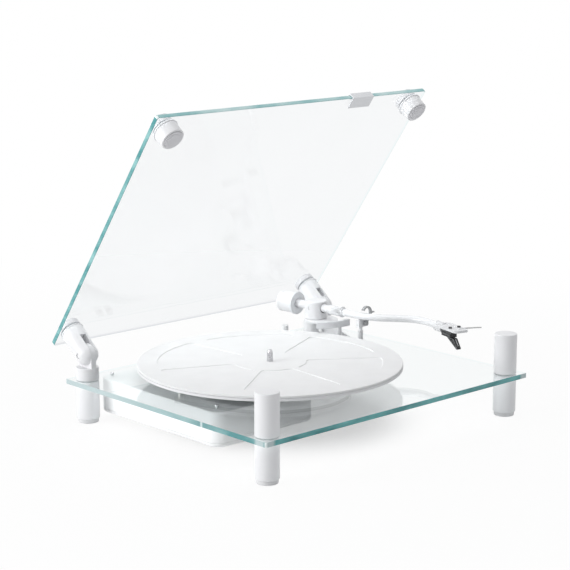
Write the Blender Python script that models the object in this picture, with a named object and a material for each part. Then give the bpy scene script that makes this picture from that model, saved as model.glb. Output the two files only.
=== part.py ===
"""Turntable on a glass plate, with a hinged glass lid that stands open.

Four posts carry the plate, a white housing hangs under it, and a belt turns
the platter. The S-shaped tonearm lies on its rest at the right. Points are
given in metres from the middle of the plate, X to the right, Y to the back.
"""

import math

import bmesh
import bpy
from mathutils import Vector

# Shared clearances: between faces that touch, and round parts that move.
GAP = 0.0003
REACH = 0.002

# Facets of round parts, by size.
DISC_SIDES = 72
RIM_SIDES = 48
POST_SIDES = 24
SMALL_SIDES = 16
TINY_SIDES = 12
CROSS_SIDES = 15

# Glass plate.
PLATE_WIDTH = 0.436
PLATE_DEPTH = 0.365
PLATE_THICK = 0.006
PLATE_TOP = 0.0535
GLASS_CORNER = 0.003
GLASS_CHAMFER = 0.0008

# Posts, legs and feet, which stand on the plate's four corners.
POST_INSET = 0.0195
POST_RADIUS = 0.014
POST_EDGE = 0.0009
POST_HEIGHT = 0.050
STUD_RADIUS = 0.004
STUD_RISE = 0.012
FOOT_RADIUS = 0.0125
FOOT_HEIGHT = 0.005
FOOT_EDGE = 0.0006
SPIGOT_RADIUS = 0.005
SPIGOT_HEIGHT = 0.005

# Lid hinge. Its axis runs along X over the rear posts.
HINGE_POST_HEIGHT = 0.0155
PIVOT_RISE = 0.031
LID_OPEN = math.radians(54.84)
TONGUE_THICK = 0.0073
TONGUE_RADIUS = 0.0133
PIN_RADIUS = 0.003
PIN_SHORT = 0.0012
BALL_RADIUS = 0.0138
BALL_ANGLES = tuple(math.radians(a) for a in (-79, -62, -46, -30, -14, 3))
NECK_RISE = 0.006
ARM_NECK_RADIUS = 0.0139
ARM_TOP_RADIUS = 0.0143
ARM_LEAN = 0.002
ARM_FLANGE_RADIUS = 0.0149
FLANGE_THICK = 0.0015
SLOT_RISE = 0.0205

# Lid glass, its caps and its bumpers.
LID_RISE = 0.0688
LID_THICK = 0.0055
CAP_HEIGHT = 0.0072
CAP_EDGE = 0.0009
CAP_SHANK_DEPTH = 0.0072
BUMPER_FLANGE_RADIUS = 0.016
BUMPER_NECK_RADIUS = 0.0150
BUMPER_END_RADIUS = 0.0142
BUMPER_PROUD = 0.0015
PAD_RADIUS = 0.0120
PAD_THICK = 0.0037
PAD_STEP_RADIUS = 0.0085
PAD_STEP = 0.0006

# Folded grip on the lid's front edge.
GRIP_MIDDLE = 0.104
GRIP_WIDTH = 0.036
GRIP_SHEET = 0.0014
GRIP_INNER_REACH = 0.015
GRIP_OUTER_REACH = 0.0045
GRIP_EDGE = 0.0003

# Housing that hangs under the plate.
HOUSING_LEFT = -0.179
HOUSING_RIGHT = -0.022
HOUSING_FRONT = -0.056
HOUSING_BACK = 0.168
HOUSING_BOTTOM = 0.009
HOUSING_SPLIT = 0.014
HOUSING_CORNER = 0.015
HOUSING_WALL = 0.0025
HOUSING_ROOF = 0.0028
HOUSING_TOP_EDGE = 0.0012
HOUSING_FILLET = 0.0042
COVER_FLOOR = 0.0025
COVER_LIP = 0.002
STUD_FROM_LEFT = 0.018
STUD_FROM_FRONT = 0.021
STUD_FROM_BACK = 0.005
STUD_LEFT = HOUSING_LEFT + STUD_FROM_LEFT
STUD_FRONT = HOUSING_FRONT + STUD_FROM_FRONT
STUD_BACK = HOUSING_BACK - STUD_FROM_BACK
DOME_RADIUS = 0.0026
DOME_HEIGHT = 0.0017
SHANK_RADIUS = 0.0015
BOSS_RADIUS = 0.004
BOSS_DEPTH = 0.006

# Motor, its pulley, the belt and the electronics inside the housing.
MOTOR_X = -0.150
MOTOR_Y = 0.045
MOTOR_RADIUS = 0.018
MOTOR_HEIGHT = 0.022
MOTOR_SHAFT_RADIUS = 0.002
MOTOR_SHAFT_DEPTH = 0.021
PULLEY_RADIUS = 0.006
PULLEY_LIP = 0.0012
PULLEY_LIP_HEIGHT = 0.0010
BELT_LOW = 0.0095
BELT_HEIGHT = 0.004
BELT_THICK = 0.0008
BOARD_X = -0.104
BOARD_WIDTH = 0.090
BOARD_DEPTH = 0.044
BOARD_THICK = 0.0016
BOARD_RISE = 0.0265
BOARD_INSET = 0.008
PEG_RADIUS = 0.0025
PEG_INSET = 0.006
SOCKET_LENGTH = 0.013
SOCKET_HEIGHT = 0.011
POWER_X = -0.136
POWER_WIDTH = 0.010
POWER_NOSE_RADIUS = 0.0040
POWER_BORE_RADIUS = 0.0028
SIGNAL_X = -0.092
SIGNAL_SPACING = 0.015
SIGNAL_WIDTH = 0.029
SIGNAL_NOSE_RADIUS = 0.0042
SIGNAL_BORE_RADIUS = 0.0016
SIGNAL_PROUD = 0.0085
NOSE_PROUD = 0.0012

# Platter, its bearing and its mat.
PLATTER_X = -0.0413
PLATTER_Y = 0.0052
PLATTER_RADIUS = 0.1615
PLATTER_SHEET = 0.0015
SKIRT_LOW = 0.0190
SKIRT_WALL = 0.0017
RIM_EDGE = 0.0005
MAT_TOP = 0.025
MAT_THICK = 0.0025
MAT_INSET = 0.0004
MAT_RADIUS = PLATTER_RADIUS - MAT_INSET
MAT_EDGE = 0.0006
WEDGE_COUNT = 6
WEDGE_TURN = math.radians(60.0)
WEDGE_SPAN = math.radians(50.5)
WEDGE_INNER = 0.044
WEDGE_OUTER = 0.137
WEDGE_DEPTH = 0.0008
WEDGE_CORNER = 0.006
SPINDLE_RADIUS = 0.0036
SPINDLE_RISE = 0.0144
SPINDLE_EDGE = 0.0009
SUB_RADIUS = 0.098
SUB_WALL = 0.004
SUB_LOW = 0.006
SUB_TOP = 0.018
SUB_WEB = 0.003
SUB_BOSS_RADIUS = 0.070
SUB_HUB_RADIUS = 0.012
AXLE_RADIUS = 0.004
AXLE_DEPTH = 0.0275
BEARING_FLANGE_RADIUS = 0.020
BEARING_FLANGE_TOP = 0.003
BEARING_NECK_RADIUS = 0.010
BEARING_TOP = 0.0055
BEARING_RADIUS = 0.011
BEARING_DEPTH = 0.0325
BEARING_FLOOR = 0.004

# Rotary control at the back of the plate.
KNOB_FROM_RIGHT = 0.093
KNOB_FROM_BACK = 0.0245
KNOB_X = PLATE_WIDTH / 2 - KNOB_FROM_RIGHT
KNOB_Y = PLATE_DEPTH / 2 - KNOB_FROM_BACK
KNOB_RADIUS = 0.0045
KNOB_TOP = 0.0168
KNOB_EDGE = 0.0006
KNOB_SHAFT_RADIUS = 0.003
KNOB_SHAFT_DEPTH = 0.010
KNOB_COLLAR_RADIUS = 0.0048
KNOB_COLLAR = 0.002
KNOB_MARK = 0.0008

# Tonearm. S runs from its pivot to the stylus tip, V outwards, away from the platter.
ARM_X = 0.1374
ARM_FROM_BACK = 0.0713
ARM_Y = PLATE_DEPTH / 2 - ARM_FROM_BACK
ARM_TURN = math.radians(6.85)
ARM_AXIS = 0.048
COLUMN_S = -0.0045
COLUMN_RADIUS = 0.013
COLUMN_TOP = 0.0297
COLUMN_STUD_RADIUS = 0.008
COLUMN_STUD_DEPTH = 0.014
NUT_RADIUS = 0.0140
NUT_HEIGHT = 0.006
WEB_THICK = 0.0052
WEB_LOW = 0.006
PILLAR_S = 0.039
PILLAR_RADIUS = 0.0034
LIFT_ROD_RADIUS = 0.0017
LIFT_ROD_DEPTH = 0.018
ARM_DISC_S = 0.0093
ARM_DISC_RADIUS = 0.0215
ARM_DISC_LOW = 0.030
ARM_DISC_TOP = 0.033
ARM_DISC_EDGE = 0.0007
LIFT_ARC_RADIUS = 0.055
LIFT_ARC_WIDTH = 0.005
LIFT_LOW = 0.0312
LIFT_TOP = 0.0395
LIFT_STRAP = 0.005
LIFT_STRAP_TOP = 0.0340
LIFT_OUT = math.radians(-0.5)
LIFT_IN = math.radians(50.0)
LIFT_STEPS = 14
CUE_S = 0.012
CUE_RISE = 0.020
CUE_SHAFT_RADIUS = 0.0015
CUE_IN = -0.0055
CUE_OUT = 0.0180
CUE_COLLAR_RADIUS = 0.0030
CUE_COLLAR = 0.0022
CUE_PLATE = 0.0030
CUE_HUB_RADIUS = 0.0035
CUE_LENGTH = 0.030
CUE_TIP_RADIUS = 0.0024
CUE_SLOPE = math.radians(-20.0)
YAW_RADIUS = 0.0145
YAW_TOP = 0.0565
YAW_EDGE = 0.0014
YAW_SPINDLE_RADIUS = 0.005
YAW_SPINDLE_LOW = 0.020
YAW_SEAT = 0.001
TUNNEL_RADIUS = 0.0071
TRUNNION_RADIUS = 0.0018
TRUNNION_SHORT = 0.0008
CORE_RADIUS = 0.006
CORE_FRONT = 0.0160
CORE_BACK = 0.0155
SHAFT_RADIUS = 0.00535
SHAFT_END = 0.0555
SHAFT_EDGE = 0.0006

# Counterweight on the shaft behind the pivot.
WEIGHT_RADIUS = 0.0138
DIAL_RADIUS = 0.0150
DIAL_FRONT = 0.031
DIAL_THICK = 0.0043
DIAL_RECESS_RADIUS = 0.0078
DIAL_RECESS = 0.0010
DIAL_EDGE = 0.0005
WEIGHT_BACK = 0.0585
WEIGHT_EDGE = 0.0015

# Tube: the corners of its S in S and V, the bend radii, and its thickness.
TUBE_RADIUS = 0.0046
COLLAR_RADIUS = 0.0061
COLLAR_END = 0.050
TUBE_START = 0.0235
STEM_RADIUS = 0.0045
STEM_START = 0.010
STEM_END = 0.0265
STEM_BORE_END = 0.0275
TUBE_CORNERS = ((0.0, 0.0), (0.093, -0.0073), (0.1495, 0.0288))
BEND_STEPS = 9
BEND_LENGTH = 0.024

# Headshell frame: T runs along the tube's last straight, through the stylus tip.
REACH_OF_ARM = 0.2329
TIP_V = -0.0049
HEAD_TURN = math.radians(-22.0)
TUBE_END_T = -0.0475
NECK_RADIUS = 0.0066
NECK_BACK_T = -0.051
NECK_FRONT_T = -0.034
HEAD_BACK_T = -0.040
HEAD_FRONT_T = 0.007
HEAD_HALF = 0.0105
HEAD_TOP = 0.0535
HEAD_THICK = 0.0030
HEAD_CORNER = 0.006
HEAD_EDGE = 0.0005
HEAD_SIDES = 4
FINGER_T = -0.0030
FINGER_WIDTH = 0.0032
FINGER_THICK = 0.0012
FINGER_LENGTH = 0.0275
FINGER_SWEEP = 0.010
FINGER_RISE = 0.0012
FINGER_TIP_SHARE = 0.6
SCREW_T = -0.0110
SCREW_SPACING = 0.0127
SCREW_RADIUS = 0.0013
SCREW_HEAD_RADIUS = 0.0022
SCREW_HEAD = 0.0013
SCREW_DEPTH = 0.0065
CART_BACK_T = -0.0335
CART_FRONT_T = -0.0130
CART_HALF = 0.0055
CART_LOW = 0.0405
CART_EDGE = 0.0006
FLANGE_BACK_T = -0.0180
FLANGE_FRONT_T = -0.0050
FLANGE_HALF = 0.0085
CART_FLANGE = 0.0027
STYLUS_TIP = 0.0279
STYLUS_HALF = 0.0030
STYLUS_BACK_T = -0.0255
STYLUS_TOP_FRONT_T = -0.0085
STYLUS_FRONT_T = 0.0
STYLUS_NOSE = 0.0016
STYLUS_NOSE_BACK = 0.0045
STYLUS_EDGE = 0.0004

# Rest and latch for the tube.
REST_S = 0.0790
REST_V = -0.0056
REST_FOOT_RADIUS = 0.0048
REST_FOOT = 0.0015
REST_RADIUS = 0.0034
REST_NECK_LOW = 0.029
REST_NECK_RADIUS = 0.0024
REST_BLOCK_LOW = 0.0335
REST_BLOCK_LENGTH = 0.005
REST_BLOCK_INNER = -0.0115
REST_BLOCK_OUTER = 0.0050
REST_LIP_TOP = 0.0468
REST_STUD_RADIUS = 0.002
REST_STUD_DEPTH = 0.010
LATCH_V = -0.0006
LATCH_RISE = 0.038
LATCH_WIDTH = 0.0040
LATCH_PIN_RADIUS = 0.0013
LATCH_HUB_RADIUS = 0.0030
LATCH_HOOK_RISE = 0.0502
LATCH_HOOK_RADIUS = 0.0076
LATCH_HOOK_THICK = 0.0019
LATCH_FROM = math.radians(-40.0)
LATCH_TO = math.radians(172.0)
LATCH_STEPS = 14
LATCH_OPEN = math.radians(25.0)
LATCH_TAB_AT = math.radians(25.0)
LATCH_TAB_LENGTH = 0.006
LATCH_TAB_THICK = 0.0015

# Places and levels that follow from the sizes above.
WELD = 0.000001
TURN = 2 * math.pi
PLATE_LOW = PLATE_TOP - PLATE_THICK
POST_X = PLATE_WIDTH / 2 - POST_INSET
POST_Y = PLATE_DEPTH / 2 - POST_INSET
PIVOT_LEVEL = PLATE_TOP + PIVOT_RISE
STUD_HOLE = STUD_RADIUS + GAP
PIN_HOLE = PIN_RADIUS + GAP
LID_LOW = LID_RISE - PIVOT_RISE
LID_TOP = LID_LOW + LID_THICK
LID_BACK = PLATE_DEPTH / 2 - POST_Y
LID_FRONT = LID_BACK - PLATE_DEPTH
BUMPER_Y = -2 * POST_Y
EDGE_UP = LID_TOP - GLASS_CHAMFER
EDGE_IN = LID_BACK - GLASS_CHAMFER
REARMOST = POST_Y + max(
    EDGE_IN * math.cos(LID_OPEN) + LID_TOP * math.sin(LID_OPEN),
    LID_BACK * math.cos(LID_OPEN) + EDGE_UP * math.sin(LID_OPEN),
)
CENTRING = (PLATE_DEPTH / 2 - REARMOST) / 2
MAT_LOW = MAT_TOP - MAT_THICK
PLATTER_TOP = MAT_LOW - GAP
PLATTER_UNDER = PLATTER_TOP - PLATTER_SHEET
AXLE_HOLE = AXLE_RADIUS + GAP
BEARING_HOLE = BEARING_RADIUS + GAP
HOUSING_CEILING = PLATE_LOW - GAP - HOUSING_ROOF


def spot(x, y, z=0.0):
    """A place given from the plate's middle, in the frame whose origin is the whole object's middle."""
    return Vector((x, y + CENTRING, z))


def arm_line(t, side=0.0):
    """S and V of a point T along the headshell's line and SIDE outwards from it."""
    along = Vector((math.cos(HEAD_TURN), math.sin(HEAD_TURN)))
    across = Vector((-along.y, along.x))
    return Vector((REACH_OF_ARM, TIP_V)) + t * along + side * across


def clear_scene():
    for obj in list(bpy.data.objects):
        bpy.data.objects.remove(obj)


def lathe(profile, sides, ring=False):
    """Body of revolution about Z through the profile's (radius, height) points."""
    bm = bmesh.new()
    verts = [bm.verts.new((radius, 0.0, height)) for radius, height in profile]
    edges = [bm.edges.new(pair) for pair in zip(verts, verts[1:])]
    if ring:
        edges.append(bm.edges.new((verts[-1], verts[0])))
    bmesh.ops.spin(
        bm,
        geom=verts + edges,
        cent=(0.0, 0.0, 0.0),
        axis=(0.0, 0.0, 1.0),
        angle=TURN,
        steps=sides,
        use_merge=True,
    )
    bmesh.ops.remove_doubles(bm, verts=bm.verts, dist=WELD)
    bmesh.ops.recalc_face_normals(bm, faces=bm.faces)
    return bm


def prism(outline, low, high, along="Z"):
    """Straight body over a flat outline, whose points are (x, y) along Z, (y, z) along X and (x, z) along Y."""
    places = {
        "Z": lambda a, b, h: (a, b, h),
        "X": lambda a, b, h: (h, a, b),
        "Y": lambda a, b, h: (a, h, b),
    }
    bm = bmesh.new()
    face = bm.faces.new([bm.verts.new(places[along](a, b, low)) for a, b in outline])
    grown = bmesh.ops.extrude_face_region(bm, geom=[face])
    tops = [item for item in grown["geom"] if isinstance(item, bmesh.types.BMVert)]
    bmesh.ops.translate(bm, verts=tops, vec=places[along](0.0, 0.0, high - low))
    bmesh.ops.recalc_face_normals(bm, faces=bm.faces)
    return bm


def box(x0, x1, y0, y1, z0, z1):
    return prism(((x0, y0), (x1, y0), (x1, y1), (x0, y1)), z0, z1)


def circle(radius, sides, x=0.0, y=0.0):
    angles = (TURN * step / sides for step in range(sides))
    return [(x + radius * math.cos(a), y + radius * math.sin(a)) for a in angles]


def arc(radius, start, end, steps, x=0.0, y=0.0):
    angles = (start + (end - start) * step / steps for step in range(steps + 1))
    return [(x + radius * math.cos(a), y + radius * math.sin(a)) for a in angles]


def rounded(x0, x1, y0, y1, radius, steps):
    """Outline of a rectangle with round corners."""
    quarter = TURN / 4
    corners = (
        (x1 - radius, y0 + radius, -quarter),
        (x1 - radius, y1 - radius, 0.0),
        (x0 + radius, y1 - radius, quarter),
        (x0 + radius, y0 + radius, 2 * quarter),
    )
    points = []
    for x, y, start in corners:
        points += arc(radius, start, start + quarter, steps, x, y)
    return points


def rod(radius, sides, start, end):
    """Round bar between two points."""
    start, end = Vector(start), Vector(end)
    bm = prism(circle(radius, sides), 0.0, (end - start).length)
    turn = Vector((0.0, 0.0, 1.0)).rotation_difference(end - start)
    bmesh.ops.rotate(bm, verts=bm.verts, cent=(0.0, 0.0, 0.0), matrix=turn.to_matrix())
    bmesh.ops.translate(bm, verts=bm.verts, vec=start)
    return bm


def moved(bm, x=0.0, y=0.0, z=0.0):
    bmesh.ops.translate(bm, verts=bm.verts, vec=(x, y, z))
    return bm


def together(*bodies):
    """Several separate bodies in one mesh, used only as a tool."""
    whole = bodies[0]
    for other in bodies[1:]:
        mesh = bpy.data.meshes.new("scrap")
        other.to_mesh(mesh)
        other.free()
        whole.from_mesh(mesh)
        bpy.data.meshes.remove(mesh)
    return whole


def level_edges(bm, height, slack=WELD):
    """The edges that lie at one height."""
    return [e for e in bm.edges if all(abs(v.co.z - height) < slack for v in e.verts)]


def soften(bm, edges, width, segments=1):
    bmesh.ops.bevel(
        bm,
        geom=edges,
        offset=width,
        segments=segments,
        profile=0.5,
        affect="EDGES",
        clamp_overlap=True,
    )
    return bm


def paint(name, colour, roughness, metallic=0.0, clear=0.0):
    material = bpy.data.materials.new(name)
    material.use_nodes = True
    shader = material.node_tree.nodes["Principled BSDF"]
    shader.inputs["Base Color"].default_value = (*colour, 1.0)
    shader.inputs["Roughness"].default_value = roughness
    shader.inputs["Metallic"].default_value = metallic
    shader.inputs["Transmission Weight"].default_value = clear
    return material


WHITE_PLASTIC = ((0.82, 0.82, 0.83), 0.42, 0.0, 0.0)
WHITE_LACQUER = ((0.84, 0.84, 0.85), 0.34, 0.0, 0.0)
GLASS = ((0.80, 0.93, 0.91), 0.03, 0.0, 0.95)
SOFT_GREY = ((0.55, 0.55, 0.57), 0.75, 0.0, 0.0)
PALE_RUBBER = ((0.72, 0.72, 0.73), 0.80, 0.0, 0.0)
MAT_WHITE = ((0.78, 0.78, 0.79), 0.70, 0.0, 0.0)
CAST_METAL = ((0.70, 0.70, 0.71), 0.38, 1.0, 0.0)
BRIGHT_METAL = ((0.80, 0.80, 0.82), 0.18, 1.0, 0.0)
BRASS = ((0.72, 0.53, 0.24), 0.30, 1.0, 0.0)
BLACK_PLASTIC = ((0.02, 0.02, 0.022), 0.35, 0.0, 0.0)
BELT_RUBBER = ((0.035, 0.035, 0.035), 0.60, 0.0, 0.0)
BOARD_GREEN = ((0.03, 0.16, 0.07), 0.45, 0.0, 0.0)


def shown(name, bm, look, at, turn=(0.0, 0.0, 0.0), smooth=32.0):
    """Adds one piece. Its points are given from AT, where its origin is, before TURN."""
    mesh = bpy.data.meshes.new(name)
    bm.to_mesh(mesh)
    bm.free()
    for polygon in mesh.polygons:
        polygon.use_smooth = True
    mesh.set_sharp_from_angle(angle=math.radians(smooth))
    mesh.materials.append(paint(name, *look))
    obj = bpy.data.objects.new(name, mesh)
    obj.location = at
    obj.rotation_euler = turn
    bpy.context.scene.collection.objects.link(obj)
    return obj


def tool(obj, bm, label, operation="DIFFERENCE"):
    """Cuts from, joins to or clips OBJ with a body in OBJ's own frame."""
    mesh = bpy.data.meshes.new(label)
    bm.to_mesh(mesh)
    bm.free()
    helper = bpy.data.objects.new(label, mesh)
    helper.location = obj.location
    helper.rotation_euler = obj.rotation_euler
    helper.hide_render = True
    helper.display_type = "WIRE"
    bpy.context.scene.collection.objects.link(helper)
    step = obj.modifiers.new(label, "BOOLEAN")
    step.operation = operation
    step.solver = "EXACT"
    step.object = helper
    return obj


def sheet_of_glass(outline, low, high):
    bm = prism(outline, low, high)
    return soften(bm, level_edges(bm, low) + level_edges(bm, high), GLASS_CHAMFER)


def drill(radius, sides, x, y, low, high):
    return moved(prism(circle(radius, sides), low - REACH, high + REACH), x, y)


def build_plate():
    half_x, half_y = PLATE_WIDTH / 2, PLATE_DEPTH / 2
    outline = rounded(-half_x, half_x, -half_y, half_y, GLASS_CORNER, 4)
    plate = shown(
        "base_glass", sheet_of_glass(outline, PLATE_LOW, PLATE_TOP), GLASS, spot(0.0, 0.0)
    )
    holes = [
        drill(STUD_HOLE, SMALL_SIDES, x, y, PLATE_LOW, PLATE_TOP)
        for x in (-POST_X, POST_X)
        for y in (-POST_Y, POST_Y)
    ]
    column = arm_place(COLUMN_S, 0.0)
    rest = arm_place(REST_S, REST_V)
    for radius, x, y in (
        (BEARING_HOLE, PLATTER_X, PLATTER_Y),
        (PULLEY_RADIUS, MOTOR_X, MOTOR_Y),
        (SHANK_RADIUS + GAP, STUD_LEFT, STUD_FRONT),
        (SHANK_RADIUS + GAP, STUD_LEFT, STUD_BACK),
        (KNOB_SHAFT_RADIUS + GAP, KNOB_X, KNOB_Y),
        (COLUMN_STUD_RADIUS + GAP, column.x, column.y),
        (REST_STUD_RADIUS + GAP, rest.x, rest.y),
    ):
        sides = SMALL_SIDES if radius > STUD_HOLE else TINY_SIDES
        holes.append(drill(radius, sides, x, y, PLATE_LOW, PLATE_TOP))
    tool(plate, together(*holes), "base_glass_holes")


def arm_place(s, v):
    """Where a point of the tonearm's frame lies from the plate's middle, with the arm on its rest."""
    sin, cos = math.sin(ARM_TURN), math.cos(ARM_TURN)
    return Vector((ARM_X + s * sin + v * cos, ARM_Y - s * cos + v * sin))


def build_posts():
    leg_low = FOOT_HEIGHT
    leg_top = PLATE_LOW - GAP
    socket = SPIGOT_RADIUS + GAP
    leg = (
        (0.0, leg_low + SPIGOT_HEIGHT + GAP),
        (socket, leg_low + SPIGOT_HEIGHT + GAP),
        (socket, leg_low),
        (POST_RADIUS - POST_EDGE, leg_low),
        (POST_RADIUS, leg_low + POST_EDGE),
        (POST_RADIUS, leg_top),
        (STUD_RADIUS, leg_top),
        (STUD_RADIUS, PLATE_TOP + STUD_RISE),
        (0.0, PLATE_TOP + STUD_RISE),
    )
    foot_top = leg_low - GAP
    foot = (
        (0.0, 0.0),
        (FOOT_RADIUS - FOOT_EDGE, 0.0),
        (FOOT_RADIUS, FOOT_EDGE),
        (FOOT_RADIUS, foot_top),
        (SPIGOT_RADIUS, foot_top),
        (SPIGOT_RADIUS, leg_low + SPIGOT_HEIGHT),
        (0.0, leg_low + SPIGOT_HEIGHT),
    )
    bore = PLATE_TOP + STUD_RISE + GAP
    low = PLATE_TOP + GAP
    post = (
        (0.0, bore),
        (STUD_HOLE, bore),
        (STUD_HOLE, low),
        (POST_RADIUS, low),
        (POST_RADIUS, PLATE_TOP + POST_HEIGHT - POST_EDGE),
        (POST_RADIUS - POST_EDGE, PLATE_TOP + POST_HEIGHT),
        (0.0, PLATE_TOP + POST_HEIGHT),
    )
    stub = (
        (0.0, bore),
        (STUD_HOLE, bore),
        (STUD_HOLE, low),
        (POST_RADIUS, low),
        (POST_RADIUS, PLATE_TOP + HINGE_POST_HEIGHT),
        (0.0, PLATE_TOP + HINGE_POST_HEIGHT),
    )
    for side, x in (("left", -POST_X), ("right", POST_X)):
        for end, y in (("front", -POST_Y), ("rear", POST_Y)):
            at = spot(x, y)
            shown(f"leg_{end}_{side}", lathe(leg, POST_SIDES), WHITE_LACQUER, at)
            shown(f"foot_{end}_{side}", lathe(foot, SMALL_SIDES), PALE_RUBBER, at)
        shown(f"post_front_{side}", lathe(post, POST_SIDES), WHITE_LACQUER, spot(x, -POST_Y))
        build_hinge_post(side, x, stub)


def build_hinge_post(side, x, stub):
    """Short rear post whose tongue carries the lid's hinge pin."""
    obj = shown(f"hinge_post_{side}", lathe(stub, POST_SIDES), WHITE_LACQUER, spot(x, POST_Y))
    foot = PLATE_TOP + HINGE_POST_HEIGHT - REACH
    outline = [(-TONGUE_RADIUS, foot), (TONGUE_RADIUS, foot)]
    outline += arc(TONGUE_RADIUS, 0.0, TURN / 2, 16, 0.0, PIVOT_LEVEL)
    half = TONGUE_THICK / 2
    tongue = prism(outline, -half, half, "X")
    tool(obj, tongue, f"hinge_tongue_{side}", "UNION")
    hole = prism(circle(PIN_HOLE, SMALL_SIDES, 0.0, PIVOT_LEVEL), -POST_RADIUS, POST_RADIUS, "X")
    tool(obj, hole, f"hinge_bore_{side}")


def loft(sections, sides):
    """Body through level circles given as (y, height, radius)."""
    bm = bmesh.new()
    rings = []
    for y, height, radius in sections:
        rings.append([bm.verts.new((a, b, height)) for a, b in circle(radius, sides, 0.0, y)])
    for low, high in zip(rings, rings[1:]):
        for i in range(sides):
            j = (i + 1) % sides
            bm.faces.new((low[i], low[j], high[j], high[i]))
    bm.faces.new(list(reversed(rings[0])))
    bm.faces.new(rings[-1])
    bmesh.ops.recalc_face_normals(bm, faces=bm.faces)
    return bm


def build_lid():
    """Every piece of the lid, made closed about the hinge axis and then swung open."""
    turn = (-LID_OPEN, 0.0, 0.0)
    half_x = PLATE_WIDTH / 2
    outline = rounded(-half_x, half_x, LID_FRONT, LID_BACK, GLASS_CORNER, 4)
    lid = shown(
        "lid_glass",
        sheet_of_glass(outline, LID_LOW, LID_TOP),
        GLASS,
        spot(0.0, POST_Y, PIVOT_LEVEL),
        turn,
    )
    holes = [
        drill(STUD_HOLE, SMALL_SIDES, x, y, LID_LOW, LID_TOP)
        for x in (-POST_X, POST_X)
        for y in (BUMPER_Y, -ARM_LEAN)
    ]
    tool(lid, together(*holes), "lid_glass_holes")
    for side, x in (("left", -POST_X), ("right", POST_X)):
        at = spot(x, POST_Y, PIVOT_LEVEL)
        build_hinge_arm(side, at, turn)
        build_bumper(side, at, turn)
        for end, y in (("front", BUMPER_Y), ("rear", -ARM_LEAN)):
            build_cap(f"lid_cap_{end}_{side}", y, at, turn)
    build_grip(turn)


def build_hinge_arm(side, at, turn):
    under = LID_LOW - GAP
    ledge = under - FLANGE_THICK
    sections = [(0.0, BALL_RADIUS * math.sin(a), BALL_RADIUS * math.cos(a)) for a in BALL_ANGLES]
    sections += [
        (-ARM_LEAN * NECK_RISE / ledge, NECK_RISE, ARM_NECK_RADIUS),
        (-ARM_LEAN, ledge, ARM_TOP_RADIUS),
        (-ARM_LEAN, ledge, ARM_FLANGE_RADIUS),
        (-ARM_LEAN, under, ARM_FLANGE_RADIUS),
    ]
    obj = shown(f"hinge_arm_{side}", loft(sections, POST_SIDES), WHITE_LACQUER, at, turn)
    wide = 2 * POST_RADIUS
    slot = TONGUE_THICK / 2 + GAP
    tool(obj, box(-slot, slot, -wide, wide, -wide, SLOT_RISE), f"hinge_slot_{side}")
    bore = prism(circle(PIN_HOLE, SMALL_SIDES), -wide, wide, "X")
    shank = drill(STUD_HOLE, SMALL_SIDES, 0.0, -ARM_LEAN, under - CAP_SHANK_DEPTH, under)
    tool(obj, together(bore, shank), f"hinge_bores_{side}")
    end = BALL_RADIUS - PIN_SHORT
    pin = rod(PIN_RADIUS, SMALL_SIDES, (-end, 0.0, 0.0), (end, 0.0, 0.0))
    shown(f"hinge_pin_{side}", pin, BRIGHT_METAL, at, turn)


def build_bumper(side, at, turn):
    """Block under the lid that meets the front post, with a soft pad let into its end."""
    under = LID_LOW - GAP
    pad_low = POST_HEIGHT - PIVOT_RISE + GAP
    body_low = pad_low + BUMPER_PROUD
    pad_top = pad_low + PAD_THICK
    recess = PAD_RADIUS + GAP
    bore = under - CAP_SHANK_DEPTH - GAP
    body = (
        (0.0, pad_top + GAP),
        (recess, pad_top + GAP),
        (recess, body_low),
        (BUMPER_END_RADIUS - POST_EDGE, body_low),
        (BUMPER_END_RADIUS, body_low + POST_EDGE),
        (BUMPER_NECK_RADIUS, under - FLANGE_THICK),
        (BUMPER_FLANGE_RADIUS, under - FLANGE_THICK),
        (BUMPER_FLANGE_RADIUS, under),
        (STUD_HOLE, under),
        (STUD_HOLE, bore),
        (0.0, bore),
    )
    bumper = moved(lathe(body, POST_SIDES), 0.0, BUMPER_Y)
    shown(f"bumper_{side}", bumper, WHITE_LACQUER, at, turn)
    pad = (
        (0.0, pad_low),
        (PAD_STEP_RADIUS, pad_low),
        (PAD_STEP_RADIUS, pad_low + PAD_STEP),
        (PAD_RADIUS, pad_low + PAD_STEP),
        (PAD_RADIUS, pad_top),
        (0.0, pad_top),
    )
    soft = moved(lathe(pad, SMALL_SIDES), 0.0, BUMPER_Y)
    shown(f"bumper_pad_{side}", soft, SOFT_GREY, at, turn)


def build_cap(name, y, at, turn):
    low = LID_TOP + GAP
    profile = (
        (0.0, LID_LOW - CAP_SHANK_DEPTH),
        (STUD_RADIUS, LID_LOW - CAP_SHANK_DEPTH),
        (STUD_RADIUS, low),
        (POST_RADIUS, low),
        (POST_RADIUS, low + CAP_HEIGHT - CAP_EDGE),
        (POST_RADIUS - CAP_EDGE, low + CAP_HEIGHT),
        (0.0, low + CAP_HEIGHT),
    )
    shown(name, moved(lathe(profile, POST_SIDES), 0.0, y), WHITE_LACQUER, at, turn)


def build_grip(turn):
    inner_top = LID_LOW - GAP
    outer_low = LID_TOP + GAP
    web = LID_FRONT - GAP
    front = web - GRIP_SHEET
    inner_end = LID_FRONT + GRIP_INNER_REACH
    outer_end = LID_FRONT + GRIP_OUTER_REACH
    outline = (
        (front, inner_top - GRIP_SHEET),
        (inner_end, inner_top - GRIP_SHEET),
        (inner_end, inner_top),
        (web, inner_top),
        (web, outer_low),
        (outer_end, outer_low),
        (outer_end, outer_low + GRIP_SHEET),
        (front, outer_low + GRIP_SHEET),
    )
    half = GRIP_WIDTH / 2
    bm = prism(outline, GRIP_MIDDLE - half, GRIP_MIDDLE + half, "X")
    soften(bm, list(bm.edges), GRIP_EDGE)
    shown("lid_grip", bm, CAST_METAL, spot(0.0, POST_Y, PIVOT_LEVEL), turn)


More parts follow.
